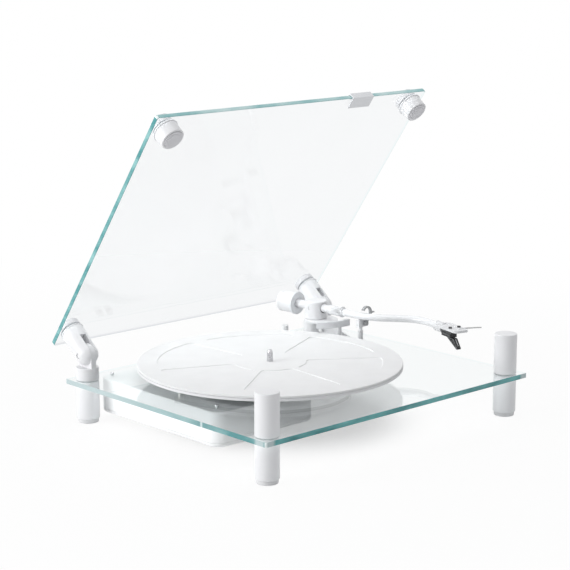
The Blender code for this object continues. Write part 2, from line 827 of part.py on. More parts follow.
def build_housing():
    at = spot(0.0, 0.0)
    left, right = HOUSING_LEFT, HOUSING_RIGHT
    front, back = HOUSING_FRONT, HOUSING_BACK
    wall = HOUSING_WALL
    top = PLATE_LOW - GAP
    split = HOUSING_SPLIT + GAP
    outline = rounded(left, right, front, back, HOUSING_CORNER, 6)
    bm = prism(outline, split, top)
    soften(bm, level_edges(bm, top), HOUSING_TOP_EDGE)
    shell = shown("housing_shell", bm, WHITE_PLASTIC, at)
    inside = rounded(
        left + wall, right - wall, front + wall, back - wall, HOUSING_CORNER - wall, 6
    )
    tool(shell, prism(inside, split - REACH, HOUSING_CEILING), "housing_inside")
    bosses = [
        moved(
            prism(circle(BOSS_RADIUS, TINY_SIDES), HOUSING_CEILING - BOSS_DEPTH, top - REACH / 2),
            STUD_LEFT,
            y,
        )
        for y in (STUD_FRONT, STUD_BACK)
    ]
    tool(shell, together(*bosses), "housing_bosses", "UNION")
    cuts = [drill(BEARING_HOLE, SMALL_SIDES, PLATTER_X, PLATTER_Y, HOUSING_CEILING, top)]
    cuts.append(drill(PULLEY_RADIUS, SMALL_SIDES, MOTOR_X, MOTOR_Y, HOUSING_CEILING, top))
    for y in (STUD_FRONT, STUD_BACK):
        shank = drill(
            SHANK_RADIUS + GAP, TINY_SIDES, STUD_LEFT, y, HOUSING_CEILING - BOSS_DEPTH, top
        )
        cuts.append(shank)
    level = socket_level()
    for x, radius in (
        (POWER_X, POWER_NOSE_RADIUS),
        (SIGNAL_X - SIGNAL_SPACING / 2, SIGNAL_NOSE_RADIUS),
        (SIGNAL_X + SIGNAL_SPACING / 2, SIGNAL_NOSE_RADIUS),
    ):
        outline = circle(radius + GAP, SMALL_SIDES, x, level)
        cuts.append(prism(outline, back - wall - REACH, back + REACH, "Y"))
    tool(shell, together(*cuts), "housing_openings")
    build_cover(at, inside)
    build_drive(at)
    build_sockets(at)
    for end, y in (("front", STUD_FRONT), ("rear", STUD_BACK)):
        low = PLATE_TOP + GAP
        profile = [(0.0, HOUSING_CEILING - BOSS_DEPTH + GAP)]
        profile += [(SHANK_RADIUS, HOUSING_CEILING - BOSS_DEPTH + GAP), (SHANK_RADIUS, low)]
        for step in range(5):
            a = TURN / 4 * step / 4
            profile.append((DOME_RADIUS * math.cos(a), low + DOME_HEIGHT * math.sin(a)))
        profile[-1] = (0.0, low + DOME_HEIGHT)
        shown(
            f"housing_stud_{end}", lathe(profile, TINY_SIDES), BRIGHT_METAL, spot(STUD_LEFT, y)
        )


def build_cover(at, inside):
    """Shallow tray that closes the housing from below, with four pegs for the circuit board."""
    outline = rounded(
        HOUSING_LEFT, HOUSING_RIGHT, HOUSING_FRONT, HOUSING_BACK, HOUSING_CORNER, 6
    )
    bm = prism(outline, HOUSING_BOTTOM, HOUSING_SPLIT)
    soften(bm, level_edges(bm, HOUSING_BOTTOM), HOUSING_FILLET, 3)
    cover = shown("housing_cover", bm, WHITE_PLASTIC, at)
    shrink = HOUSING_WALL + GAP
    lip = rounded(
        HOUSING_LEFT + shrink,
        HOUSING_RIGHT - shrink,
        HOUSING_FRONT + shrink,
        HOUSING_BACK - shrink,
        HOUSING_CORNER - shrink,
        6,
    )
    step = prism(lip, HOUSING_SPLIT - REACH, HOUSING_SPLIT + COVER_LIP)
    tool(cover, step, "cover_step", "UNION")
    shrink += HOUSING_WALL
    pocket = rounded(
        HOUSING_LEFT + shrink,
        HOUSING_RIGHT - shrink,
        HOUSING_FRONT + shrink,
        HOUSING_BACK - shrink,
        HOUSING_CORNER - shrink,
        6,
    )
    floor = HOUSING_BOTTOM + COVER_FLOOR
    tool(cover, prism(pocket, floor, HOUSING_SPLIT + COVER_LIP + REACH), "cover_pocket")
    pegs = [
        moved(prism(circle(PEG_RADIUS, TINY_SIDES), floor - COVER_FLOOR / 2, BOARD_RISE - GAP), x, y)
        for x, y in board_corners()
    ]
    tool(cover, together(*pegs), "cover_pegs", "UNION")


def board_box():
    back = HOUSING_BACK - HOUSING_WALL - BOARD_INSET
    half = BOARD_WIDTH / 2
    return BOARD_X - half, BOARD_X + half, back - BOARD_DEPTH, back


def board_corners():
    x0, x1, y0, y1 = board_box()
    return [(x, y) for x in (x0 + PEG_INSET, x1 - PEG_INSET) for y in (y0 + PEG_INSET, y1 - PEG_INSET)]


def socket_level():
    return BOARD_RISE + BOARD_THICK + GAP + SOCKET_HEIGHT / 2


def build_sockets(at):
    x0, x1, y0, y1 = board_box()
    board = box(x0, x1, y0, y1, BOARD_RISE, BOARD_RISE + BOARD_THICK)
    shown("circuit_board", board, BOARD_GREEN, at)
    wall = HOUSING_BACK - HOUSING_WALL
    low = BOARD_RISE + BOARD_THICK + GAP
    level = socket_level()
    nose_back = wall - REACH / 2 - SOCKET_LENGTH / 2
    half = POWER_WIDTH / 2
    body = box(
        POWER_X - half, POWER_X + half, wall - GAP - SOCKET_LENGTH, wall - GAP, low, low + SOCKET_HEIGHT
    )
    power = shown("power_socket", body, BLACK_PLASTIC, at)
    nose = prism(
        circle(POWER_NOSE_RADIUS, SMALL_SIDES, POWER_X, level), nose_back, HOUSING_BACK + NOSE_PROUD, "Y"
    )
    tool(power, nose, "power_nose", "UNION")
    hollow = prism(
        circle(POWER_BORE_RADIUS, SMALL_SIDES, POWER_X, level),
        wall - SOCKET_LENGTH / 2,
        HOUSING_BACK + SOCKET_LENGTH,
        "Y",
    )
    tool(power, hollow, "power_bore")
    half = SIGNAL_WIDTH / 2
    body = box(
        SIGNAL_X - half, SIGNAL_X + half, wall - GAP - SOCKET_LENGTH, wall - GAP, low, low + SOCKET_HEIGHT
    )
    signal = shown("signal_sockets", body, BLACK_PLASTIC, at)
    noses, hollows = [], []
    for x in (SIGNAL_X - SIGNAL_SPACING / 2, SIGNAL_X + SIGNAL_SPACING / 2):
        outline = circle(SIGNAL_NOSE_RADIUS, SMALL_SIDES, x, level)
        noses.append(prism(outline, nose_back, HOUSING_BACK + SIGNAL_PROUD, "Y"))
        outline = circle(SIGNAL_BORE_RADIUS, TINY_SIDES, x, level)
        hollows.append(prism(outline, wall - SOCKET_LENGTH / 2, HOUSING_BACK + SOCKET_LENGTH, "Y"))
    tool(signal, together(*noses), "signal_noses", "UNION")
    tool(signal, together(*hollows), "signal_bores")


def build_drive(at):
    """Motor under the housing's roof, its pulley over the plate, and the belt to the sub-platter."""
    top = HOUSING_CEILING - GAP
    shaft_low = PLATE_TOP - MOTOR_SHAFT_DEPTH
    bore = MOTOR_SHAFT_RADIUS + GAP
    motor = (
        (0.0, top - MOTOR_HEIGHT),
        (MOTOR_RADIUS - POST_EDGE, top - MOTOR_HEIGHT),
        (MOTOR_RADIUS, top - MOTOR_HEIGHT + POST_EDGE),
        (MOTOR_RADIUS, top),
        (bore, top),
        (bore, shaft_low - GAP),
        (0.0, shaft_low - GAP),
    )
    where = spot(MOTOR_X, MOTOR_Y)
    shown("motor", lathe(motor, POST_SIDES), CAST_METAL, where)
    groove = PLATE_TOP + BELT_LOW - GAP
    ridge = groove + BELT_HEIGHT + 2 * GAP
    lip = PULLEY_RADIUS + PULLEY_LIP
    pulley = (
        (0.0, shaft_low),
        (MOTOR_SHAFT_RADIUS, shaft_low),
        (MOTOR_SHAFT_RADIUS, groove - PULLEY_LIP_HEIGHT),
        (lip, groove - PULLEY_LIP_HEIGHT),
        (PULLEY_RADIUS, groove),
        (PULLEY_RADIUS, ridge),
        (lip, ridge + PULLEY_LIP_HEIGHT),
        (0.0, ridge + PULLEY_LIP_HEIGHT),
    )
    shown("motor_pulley", lathe(pulley, SMALL_SIDES), BRASS, where)
    inner = belt_path(GAP)
    outer = belt_path(GAP + BELT_THICK)
    low = PLATE_TOP + BELT_LOW
    levels = ((inner, low), (outer, low), (outer, low + BELT_HEIGHT), (inner, low + BELT_HEIGHT))
    bm = bmesh.new()
    rings = [[bm.verts.new((x, y, z)) for x, y in path] for path, z in levels]
    count = len(inner)
    for one, other in zip(rings, rings[1:] + rings[:1]):
        for i in range(count):
            j = (i + 1) % count
            bm.faces.new((one[i], one[j], other[j], other[i]))
    bmesh.ops.recalc_face_normals(bm, faces=bm.faces)
    shown("drive_belt", bm, BELT_RUBBER, at)


def belt_path(away):
    """Loop round the sub-platter and the pulley, AWAY from both."""
    dx, dy = PLATTER_X - MOTOR_X, PLATTER_Y - MOTOR_Y
    heading = math.atan2(dy, dx)
    lean = math.acos((PULLEY_RADIUS - SUB_RADIUS) / math.hypot(dx, dy))
    points = arc(
        PULLEY_RADIUS + away, heading + lean, heading + TURN - lean, 8, MOTOR_X, MOTOR_Y
    )
    points += arc(
        SUB_RADIUS + away, heading - lean, heading + lean, 40, PLATTER_X, PLATTER_Y
    )
    return points


def build_platter():
    where = spot(PLATTER_X, PLATTER_Y)
    zero = PLATE_TOP
    bearing = (
        (0.0, zero - BEARING_DEPTH),
        (BEARING_RADIUS, zero - BEARING_DEPTH),
        (BEARING_RADIUS, zero + GAP),
        (BEARING_FLANGE_RADIUS, zero + GAP),
        (BEARING_FLANGE_RADIUS, zero + BEARING_FLANGE_TOP),
        (BEARING_NECK_RADIUS, zero + BEARING_FLANGE_TOP),
        (BEARING_NECK_RADIUS, zero + BEARING_TOP),
        (AXLE_HOLE, zero + BEARING_TOP),
        (AXLE_HOLE, zero - BEARING_DEPTH + BEARING_FLOOR),
        (0.0, zero - BEARING_DEPTH + BEARING_FLOOR),
    )
    shown("bearing_housing", lathe(bearing, POST_SIDES), CAST_METAL, where)
    seat = PLATTER_UNDER - GAP
    top = MAT_TOP + SPINDLE_RISE
    sub = (
        (0.0, zero - AXLE_DEPTH),
        (AXLE_RADIUS, zero - AXLE_DEPTH),
        (AXLE_RADIUS, zero + BEARING_TOP + GAP),
        (SUB_HUB_RADIUS, zero + BEARING_TOP + GAP),
        (SUB_HUB_RADIUS, zero + SUB_TOP - SUB_WEB),
        (SUB_RADIUS - SUB_WALL, zero + SUB_TOP - SUB_WEB),
        (SUB_RADIUS - SUB_WALL, zero + SUB_LOW),
        (SUB_RADIUS, zero + SUB_LOW),
        (SUB_RADIUS, zero + SUB_TOP),
        (SUB_BOSS_RADIUS, zero + SUB_TOP),
        (SUB_BOSS_RADIUS, zero + seat),
        (SPINDLE_RADIUS, zero + seat),
        (SPINDLE_RADIUS, zero + top - SPINDLE_EDGE),
        (SPINDLE_RADIUS - SPINDLE_EDGE, zero + top),
        (0.0, zero + top),
    )
    shown("sub_platter", lathe(sub, RIM_SIDES), CAST_METAL, where)
    hole = SPINDLE_RADIUS + GAP
    inner = PLATTER_RADIUS - SKIRT_WALL
    platter = (
        (hole, zero + PLATTER_UNDER),
        (inner, zero + PLATTER_UNDER),
        (inner, zero + SKIRT_LOW),
        (PLATTER_RADIUS - RIM_EDGE, zero + SKIRT_LOW),
        (PLATTER_RADIUS, zero + SKIRT_LOW + RIM_EDGE),
        (PLATTER_RADIUS, zero + PLATTER_TOP),
        (hole, zero + PLATTER_TOP),
    )
    shown("platter", lathe(platter, DISC_SIDES, ring=True), WHITE_LACQUER, where)
    mat = (
        (hole, zero + MAT_LOW),
        (MAT_RADIUS, zero + MAT_LOW),
        (MAT_RADIUS, zero + MAT_TOP - MAT_EDGE),
        (MAT_RADIUS - MAT_EDGE, zero + MAT_TOP),
        (hole, zero + MAT_TOP),
    )
    obj = shown("platter_mat", lathe(mat, DISC_SIDES, ring=True), MAT_WHITE, where)
    floor = zero + MAT_TOP - WEDGE_DEPTH
    wedges = [
        prism(wedge_outline(WEDGE_TURN * (number + 1)), floor, zero + MAT_TOP + REACH)
        for number in range(WEDGE_COUNT)
    ]
    tool(obj, together(*wedges), "mat_wedges")


def wedge_outline(middle):
    """Ring sector with round corners, about the direction MIDDLE."""
    half = WEDGE_SPAN / 2
    points = []
    for radius, sign in ((WEDGE_OUTER, 1.0), (WEDGE_INNER, -1.0)):
        centre = radius - sign * WEDGE_CORNER
        back = math.asin(WEDGE_CORNER / centre)
        reach = half - back
        for side in (-sign, sign):
            a = middle + side * reach
            x, y = centre * math.cos(a), centre * math.sin(a)
            outward = a if sign > 0 else a + TURN / 2
            start = outward - TURN / 4 if side * sign < 0 else outward
            points += arc(WEDGE_CORNER, start, start + TURN / 4, 3, x, y)
            if side * sign < 0:
                steps = 8 if sign > 0 else 3
                between = arc(radius, a, middle - side * reach, steps)
                points += between[1:-1]
    return points


def build_knob():
    zero = PLATE_TOP
    collar = zero - KNOB_SHAFT_DEPTH
    under = PLATE_LOW - GAP
    profile = (
        (0.0, collar),
        (KNOB_SHAFT_RADIUS, collar),
        (KNOB_SHAFT_RADIUS, under - KNOB_COLLAR),
        (KNOB_COLLAR_RADIUS, under - KNOB_COLLAR),
        (KNOB_COLLAR_RADIUS, under),
        (KNOB_SHAFT_RADIUS, under),
        (KNOB_SHAFT_RADIUS, zero + GAP),
        (KNOB_RADIUS, zero + GAP),
        (KNOB_RADIUS, zero + KNOB_TOP - KNOB_EDGE),
        (KNOB_RADIUS - KNOB_EDGE, zero + KNOB_TOP),
        (0.0, zero + KNOB_TOP),
    )
    obj = shown("control_knob", lathe(profile, SMALL_SIDES), WHITE_PLASTIC, spot(KNOB_X, KNOB_Y))
    half = KNOB_MARK / 2
    top = zero + KNOB_TOP
    mark = box(-half, half, -2 * KNOB_RADIUS, 0.0, top - KNOB_MARK, top + REACH)
    tool(obj, mark, "knob_mark")


def build_arm_base(at, turn):
    """Fixed pieces under the tonearm, in its frame on the rest."""
    zero = PLATE_TOP
    column = (
        (0.0, zero - COLUMN_STUD_DEPTH),
        (COLUMN_STUD_RADIUS, zero - COLUMN_STUD_DEPTH),
        (COLUMN_STUD_RADIUS, zero + GAP),
        (COLUMN_RADIUS, zero + GAP),
        (COLUMN_RADIUS, zero + COLUMN_TOP),
        (0.0, zero + COLUMN_TOP),
    )
    base = shown("arm_base", moved(lathe(column, POST_SIDES), COLUMN_S), WHITE_LACQUER, at, turn)
    half = WEB_THICK / 2
    web = box(COLUMN_S, PILLAR_S, -half, half, zero + WEB_LOW, zero + COLUMN_TOP)
    tool(base, web, "arm_base_web", "UNION")
    pillar = prism(circle(PILLAR_RADIUS, SMALL_SIDES, PILLAR_S), zero + GAP, zero + COLUMN_TOP)
    tool(base, pillar, "arm_base_pillar", "UNION")
    lift_bore = zero + LIFT_LOW - LIFT_ROD_DEPTH - GAP
    spindle = drill(
        YAW_SPINDLE_RADIUS + GAP,
        SMALL_SIDES,
        0.0,
        0.0,
        zero + YAW_SPINDLE_LOW - YAW_SEAT + REACH,
        zero + COLUMN_TOP,
    )
    lift = drill(
        LIFT_ROD_RADIUS + GAP, TINY_SIDES, PILLAR_S, 0.0, lift_bore + REACH, zero + COLUMN_TOP
    )
    cue = prism(
        circle(CUE_SHAFT_RADIUS + GAP, TINY_SIDES, CUE_S, zero + CUE_RISE),
        -WEB_THICK,
        WEB_THICK,
        "Y",
    )
    tool(base, together(spindle, lift, cue), "arm_base_bores")
    bore = COLUMN_STUD_RADIUS + GAP
    high = PLATE_LOW - GAP
    nut = ((bore, high - NUT_HEIGHT), (NUT_RADIUS, high - NUT_HEIGHT), (NUT_RADIUS, high), (bore, high))
    shown(
        "arm_base_nut",
        moved(lathe(nut, SMALL_SIDES, ring=True), COLUMN_S),
        WHITE_LACQUER,
        at,
        turn,
    )
    hole = YAW_SPINDLE_RADIUS + GAP
    plan = circle(ARM_DISC_RADIUS, POST_SIDES)
    bm = moved(prism(plan, zero + ARM_DISC_LOW, zero + ARM_DISC_TOP), ARM_DISC_S)
    rims = level_edges(bm, zero + ARM_DISC_TOP) + level_edges(bm, zero + ARM_DISC_LOW)
    soften(bm, rims, ARM_DISC_EDGE)
    disc = shown("arm_disc", bm, WHITE_LACQUER, at, turn)
    through = drill(hole, SMALL_SIDES, 0.0, 0.0, zero + ARM_DISC_LOW, zero + ARM_DISC_TOP)
    tool(disc, through, "arm_disc_hole")


def build_cueing(at, turn):
    """Lever on a cross shaft, and the curved platform that it raises under the tube."""
    zero = PLATE_TOP
    level = zero + CUE_RISE
    place = at + to_world(CUE_S, 0.0, level)
    shaft = rod(CUE_SHAFT_RADIUS, TINY_SIDES, (0.0, CUE_IN, 0.0), (0.0, CUE_OUT, 0.0))
    lever = shown("cue_lever", shaft, WHITE_PLASTIC, place, turn)
    half = CUE_COLLAR / 2
    collar = prism(circle(CUE_COLLAR_RADIUS, TINY_SIDES), CUE_IN - half, CUE_IN + half, "Y")
    tool(lever, collar, "cue_collar", "UNION")
    blade = arc(CUE_HUB_RADIUS, TURN / 4 + CUE_SLOPE, TURN * 3 / 4 + CUE_SLOPE, 8)
    tip_x = CUE_LENGTH * math.cos(CUE_SLOPE)
    tip_z = CUE_LENGTH * math.sin(CUE_SLOPE)
    blade += arc(CUE_TIP_RADIUS, -TURN / 4 + CUE_SLOPE, TURN / 4 + CUE_SLOPE, 6, tip_x, tip_z)
    tool(lever, prism(blade, CUE_OUT - CUE_PLATE, CUE_OUT + GAP, "Y"), "cue_blade", "UNION")
    place = at + to_world(PILLAR_S, 0.0, 0.0)
    bar = []
    half = LIFT_ARC_WIDTH / 2
    outer = arc(LIFT_ARC_RADIUS + half, LIFT_OUT, -LIFT_IN, LIFT_STEPS, -PILLAR_S)
    inner = arc(LIFT_ARC_RADIUS - half, -LIFT_IN, LIFT_OUT, LIFT_STEPS, -PILLAR_S)
    bar = prism(outer + inner, zero + LIFT_LOW, zero + LIFT_TOP)
    platform = shown("lift_platform", bar, WHITE_PLASTIC, place, turn)
    half = LIFT_STRAP / 2
    reach = LIFT_ARC_RADIUS - PILLAR_S
    strap = box(-half, reach, -half, half, zero + LIFT_LOW, zero + LIFT_STRAP_TOP)
    tool(platform, strap, "lift_strap", "UNION")
    stem = prism(
        circle(LIFT_ROD_RADIUS, TINY_SIDES),
        zero + LIFT_LOW - LIFT_ROD_DEPTH,
        zero + LIFT_STRAP_TOP - GAP,
    )
    tool(platform, stem, "lift_rod", "UNION")


def to_world(s, v, z):
    """Step from the arm's pivot to a point of its frame."""
    sin, cos = math.sin(ARM_TURN), math.cos(ARM_TURN)
    return Vector((s * sin + v * cos, v * sin - s * cos, z))


def build_rest(at, turn):
    zero = PLATE_TOP
    place = at + to_world(REST_S, REST_V, 0.0)
    pad = ARM_AXIS - TUBE_RADIUS - GAP
    post = (
        (0.0, zero - REST_STUD_DEPTH),
        (REST_STUD_RADIUS, zero - REST_STUD_DEPTH),
        (REST_STUD_RADIUS, zero + GAP),
        (REST_FOOT_RADIUS, zero + GAP),
        (REST_FOOT_RADIUS, zero + REST_FOOT),
        (REST_RADIUS, zero + REST_FOOT),
        (REST_RADIUS, zero + REST_NECK_LOW),
        (REST_NECK_RADIUS, zero + REST_NECK_LOW),
        (REST_NECK_RADIUS, zero + REST_BLOCK_LOW + REACH),
        (0.0, zero + REST_BLOCK_LOW + REACH),
    )
    rest = shown("arm_rest", lathe(post, SMALL_SIDES), WHITE_LACQUER, place, turn)
    inner = REST_BLOCK_INNER - REST_V
    outer = REST_BLOCK_OUTER - REST_V
    lip = TUBE_RADIUS + GAP
    low, top, lip_top = zero + REST_BLOCK_LOW, zero + pad, zero + REST_LIP_TOP
    outline = (
        (inner, low),
        (outer, low),
        (outer, lip_top),
        (lip, lip_top),
        (lip, top),
        (inner, top),
    )
    half = REST_BLOCK_LENGTH / 2
    bm = prism(outline, -half, half, "X")
    tool(rest, bm, "rest_block", "UNION")
    pin_v = LATCH_V - REST_V
    hole = prism(
        circle(LATCH_PIN_RADIUS + GAP, TINY_SIDES, pin_v, zero + LATCH_RISE), -2 * half, 2 * half, "X"
    )
    tool(rest, hole, "rest_hole")
    build_latch(at, turn)


def build_latch(at, turn):
    """Hook that closes over the tube. It is drawn closed about its pin and then swung open."""
    zero = PLATE_TOP
    front = REST_S + REST_BLOCK_LENGTH / 2 + GAP
    place = at + to_world(front, LATCH_V, zero + LATCH_RISE)
    centre_v = REST_V - LATCH_V
    centre_z = LATCH_HOOK_RISE - LATCH_RISE
    inner = LATCH_HOOK_RADIUS
    outer = inner + LATCH_HOOK_THICK
    hook = arc(outer, LATCH_FROM, LATCH_TO, LATCH_STEPS, centre_v, centre_z)
    hook += arc(inner, LATCH_TO, LATCH_FROM, LATCH_STEPS, centre_v, centre_z)
    obj = shown("arm_latch", prism(hook, 0.0, LATCH_WIDTH, "X"), SOFT_GREY, place)
    join_a = math.cos(LATCH_FROM), math.sin(LATCH_FROM)
    mid = inner + LATCH_HOOK_THICK / 2
    end_v, end_z = centre_v + mid * join_a[0], centre_z + mid * join_a[1]
    away = Vector((end_v, end_z)).normalized()
    across = Vector((-away.y, away.x)) * LATCH_HOOK_THICK / 2
    tip = Vector((end_v, end_z)) + away * LATCH_HOOK_THICK / 2
    leg = [(-across)[:], (tip - across)[:], (tip + across)[:], across[:]]
    tool(obj, prism(leg, 0.0, LATCH_WIDTH, "X"), "latch_leg", "UNION")
    tool(obj, prism(circle(LATCH_HUB_RADIUS, SMALL_SIDES), 0.0, LATCH_WIDTH, "X"), "latch_hub", "UNION")
    pin = prism(
        circle(LATCH_PIN_RADIUS, TINY_SIDES), -REST_BLOCK_LENGTH - GAP, LATCH_WIDTH / 2, "X"
    )
    tool(obj, pin, "latch_pin", "UNION")
    tab_at = Vector((math.cos(LATCH_TAB_AT), math.sin(LATCH_TAB_AT)))
    start = Vector((centre_v, centre_z)) + tab_at * mid
    end = start + tab_at * LATCH_TAB_LENGTH
    across = Vector((-tab_at.y, tab_at.x)) * LATCH_TAB_THICK / 2
    tab = [(start - across)[:], (end - across)[:], (end + across)[:], (start + across)[:]]
    tool(obj, prism(tab, 0.0, LATCH_WIDTH, "X"), "latch_tab", "UNION")
    swing(obj, turn, -LATCH_OPEN)


def swing(obj, turn, angle):
    """Turns a piece and its tools about the arm's own S direction, after its place on the plate."""
    heading = turn[2]
    for item in [obj] + [step.object for step in obj.modifiers]:
        item.rotation_mode = "XYZ"
        item.rotation_euler = (angle, 0.0, heading)


def build_arm(at, turn):
    """Everything that swings: the yaw body, the core on its trunnions, the tube and the head."""
    zero = PLATE_TOP
    level = zero + ARM_AXIS
    low = zero + ARM_DISC_TOP + GAP
    yaw = (
        (0.0, zero + YAW_SPINDLE_LOW),
        (YAW_SPINDLE_RADIUS, zero + YAW_SPINDLE_LOW),
        (YAW_SPINDLE_RADIUS, low),
        (YAW_RADIUS, low),
        (YAW_RADIUS, zero + YAW_TOP - YAW_EDGE),
        (YAW_RADIUS - YAW_EDGE, zero + YAW_TOP),
        (0.0, zero + YAW_TOP),
    )
    body = shown("arm_yaw_body", lathe(yaw, POST_SIDES), WHITE_LACQUER, at, turn)
    wide = 2 * YAW_RADIUS
    tunnel = prism(circle(TUNNEL_RADIUS, CROSS_SIDES, 0.0, level), -wide, wide, "X")
    tool(body, tunnel, "yaw_tunnel")
    cross = prism(circle(TRUNNION_RADIUS + GAP, CROSS_SIDES, 0.0, level), -wide, wide, "Y")
    tool(body, cross, "yaw_trunnion_bore")
    pivot = at + Vector((0.0, 0.0, level))
    core = (
        (0.0, -SHAFT_END),
        (SHAFT_RADIUS - SHAFT_EDGE, -SHAFT_END),
        (SHAFT_RADIUS, -SHAFT_END + SHAFT_EDGE),
        (SHAFT_RADIUS, -CORE_BACK),
        (CORE_RADIUS, -CORE_BACK),
        (CORE_RADIUS, CORE_FRONT),
        (0.0, CORE_FRONT),
    )
    obj = shown("arm_core", along_s(lathe(core, SMALL_SIDES)), WHITE_LACQUER, pivot, turn)
    end = YAW_RADIUS - TRUNNION_SHORT
    cross = prism(circle(TRUNNION_RADIUS, TINY_SIDES), -end, end, "Y")
    tool(obj, cross, "core_trunnion", "UNION")
    stem = rod(STEM_RADIUS, SMALL_SIDES, tube_point(STEM_START), tube_point(STEM_END))
    tool(obj, stem, "core_stem", "UNION")
    build_tube(pivot, turn)
    build_head(pivot, turn)
    build_weight(pivot, turn)


def along_s(bm):
    """Lays a body that was turned about Z along the arm."""
    for vert in bm.verts:
        x, y, z = vert.co
        vert.co = (z, y, -x)
    return bm


def tube_point(distance):
    """A point of the tube's first straight, DISTANCE from the arm's pivot."""
    start, corner = Vector(TUBE_CORNERS[0]), Vector(TUBE_CORNERS[1])
    return (start + (corner - start).normalized() * distance).to_3d()


def tube_path():
    """Points of the tube's middle line, with round bends at the S's corners, and its radii."""
    corners = [Vector(corner) for corner in TUBE_CORNERS] + [arm_line(TUBE_END_T)]
    points = [tube_point(reach).to_2d() for reach in (TUBE_START, COLLAR_END - REACH, COLLAR_END)]
    radii = [COLLAR_RADIUS, COLLAR_RADIUS, TUBE_RADIUS]
    for before, corner, after in zip(corners, corners[1:], corners[2:]):
        start = corner + (before - corner).normalized() * BEND_LENGTH
        end = corner + (after - corner).normalized() * BEND_LENGTH
        for step in range(BEND_STEPS + 1):
            k = step / BEND_STEPS
            points.append(start * (1 - k) ** 2 + corner * 2 * k * (1 - k) + end * k**2)
            radii.append(TUBE_RADIUS)
    points.append(corners[-1])
    radii.append(TUBE_RADIUS)
    return points, radii


def build_tube(pivot, turn):
    points, radii = tube_path()
    path = bpy.data.curves.new("tube_path", "CURVE")
    path.dimensions = "3D"
    path.bevel_depth = 1.0
    path.bevel_resolution = 3
    path.use_fill_caps = True
    path.twist_mode = "Z_UP"
    line = path.splines.new("POLY")
    line.points.add(len(points) - 1)
    for point, place, radius in zip(line.points, points, radii):
        point.co = (place.x, place.y, 0.0, 1.0)
        point.radius = radius
    guide = bpy.data.objects.new("tube_path", path)
    guide.hide_render = True
    guide.display_type = "WIRE"
    bpy.context.scene.collection.objects.link(guide)
    graph = bpy.context.evaluated_depsgraph_get()
    mesh = bpy.data.meshes.new_from_object(guide.evaluated_get(graph))
    bm = bmesh.new()
    bm.from_mesh(mesh)
    bpy.data.objects.remove(guide)
    bmesh.ops.remove_doubles(bm, verts=bm.verts, dist=WELD)
    bmesh.ops.recalc_face_normals(bm, faces=bm.faces)
    tube = shown("arm_tube", bm, WHITE_LACQUER, pivot, turn, 40.0)
    start = tube_point(TUBE_START - REACH)
    bore = rod(STEM_RADIUS + GAP, SMALL_SIDES, start, tube_point(STEM_BORE_END))
    tool(tube, bore, "tube_socket")


def head_outline(t0, t1, half, radius):
    """Plan of a piece of the head in S and V, with round corners."""
    return [arm_line(t, side)[:] for t, side in rounded(t0, t1, -half, half, radius, HEAD_SIDES)]


def build_head(pivot, turn):
    """Headshell with its finger lift, cartridge, stylus and two screws, below and on the shell's plate."""
    drop = ARM_AXIS
    top = HEAD_TOP - drop
    low = top - HEAD_THICK
    bm = prism(head_outline(HEAD_BACK_T, HEAD_FRONT_T, HEAD_HALF, HEAD_CORNER), low, top)
    soften(bm, level_edges(bm, top), HEAD_EDGE)
    shell = shown("headshell", bm, WHITE_LACQUER, pivot, turn)
    back, front = arm_line(NECK_BACK_T), arm_line(NECK_FRONT_T)
    neck = rod(NECK_RADIUS, SMALL_SIDES, (back.x, back.y, 0.0), (front.x, front.y, 0.0))
    tool(shell, neck, "head_neck", "UNION")
    end = arm_line(TUBE_END_T + GAP)
    past = arm_line(NECK_BACK_T - REACH)
    socket = rod(TUBE_RADIUS + GAP, SMALL_SIDES, (past.x, past.y, 0.0), (end.x, end.y, 0.0))
    tool(shell, socket, "head_socket")
    build_finger(shell, top)
    screws = [(name, arm_line(SCREW_T, side)) for name, side in screw_sides()]
    holes = [
        drill(SCREW_RADIUS + GAP, TINY_SIDES, place.x, place.y, low, top) for _, place in screws
    ]
    tool(shell, together(*holes), "head_holes")
    cart_top = low - GAP
    cart_low = CART_LOW - drop
    ledge = cart_top - CART_FLANGE
    outline = (
        (CART_BACK_T, -CART_HALF),
        (FLANGE_BACK_T, -CART_HALF),
        (FLANGE_BACK_T, -FLANGE_HALF),
        (FLANGE_FRONT_T, -FLANGE_HALF),
        (FLANGE_FRONT_T, FLANGE_HALF),
        (FLANGE_BACK_T, FLANGE_HALF),
        (FLANGE_BACK_T, CART_HALF),
        (CART_BACK_T, CART_HALF),
    )
    bm = prism([arm_line(t, side)[:] for t, side in outline], ledge, cart_top)
    cartridge = shown("cartridge", bm, BLACK_PLASTIC, pivot, turn)
    body = head_outline(CART_BACK_T + GAP, CART_FRONT_T, CART_HALF - GAP, CART_EDGE)
    bm = prism(body, cart_low, cart_top - CART_FLANGE / 2)
    soften(bm, level_edges(bm, cart_low), CART_EDGE)
    tool(cartridge, bm, "cartridge_body", "UNION")
    wells = [
        drill(SCREW_RADIUS + GAP, TINY_SIDES, place.x, place.y, top - SCREW_DEPTH + REACH - GAP, top)
        for _, place in screws
    ]
    tool(cartridge, together(*wells), "cartridge_wells")
    for name, place in screws:
        profile = (
            (0.0, top - SCREW_DEPTH),
            (SCREW_RADIUS, top - SCREW_DEPTH),
            (SCREW_RADIUS, top + GAP),
            (SCREW_HEAD_RADIUS, top + GAP),
            (SCREW_HEAD_RADIUS, top + GAP + SCREW_HEAD),
            (0.0, top + GAP + SCREW_HEAD),
        )
        bm = moved(lathe(profile, TINY_SIDES), place.x, place.y)
        shown(f"head_screw_{name}", bm, BLACK_PLASTIC, pivot, turn)
    build_stylus(pivot, turn, cart_low)


def screw_sides():
    return (("inner", -SCREW_SPACING / 2), ("outer", SCREW_SPACING / 2))


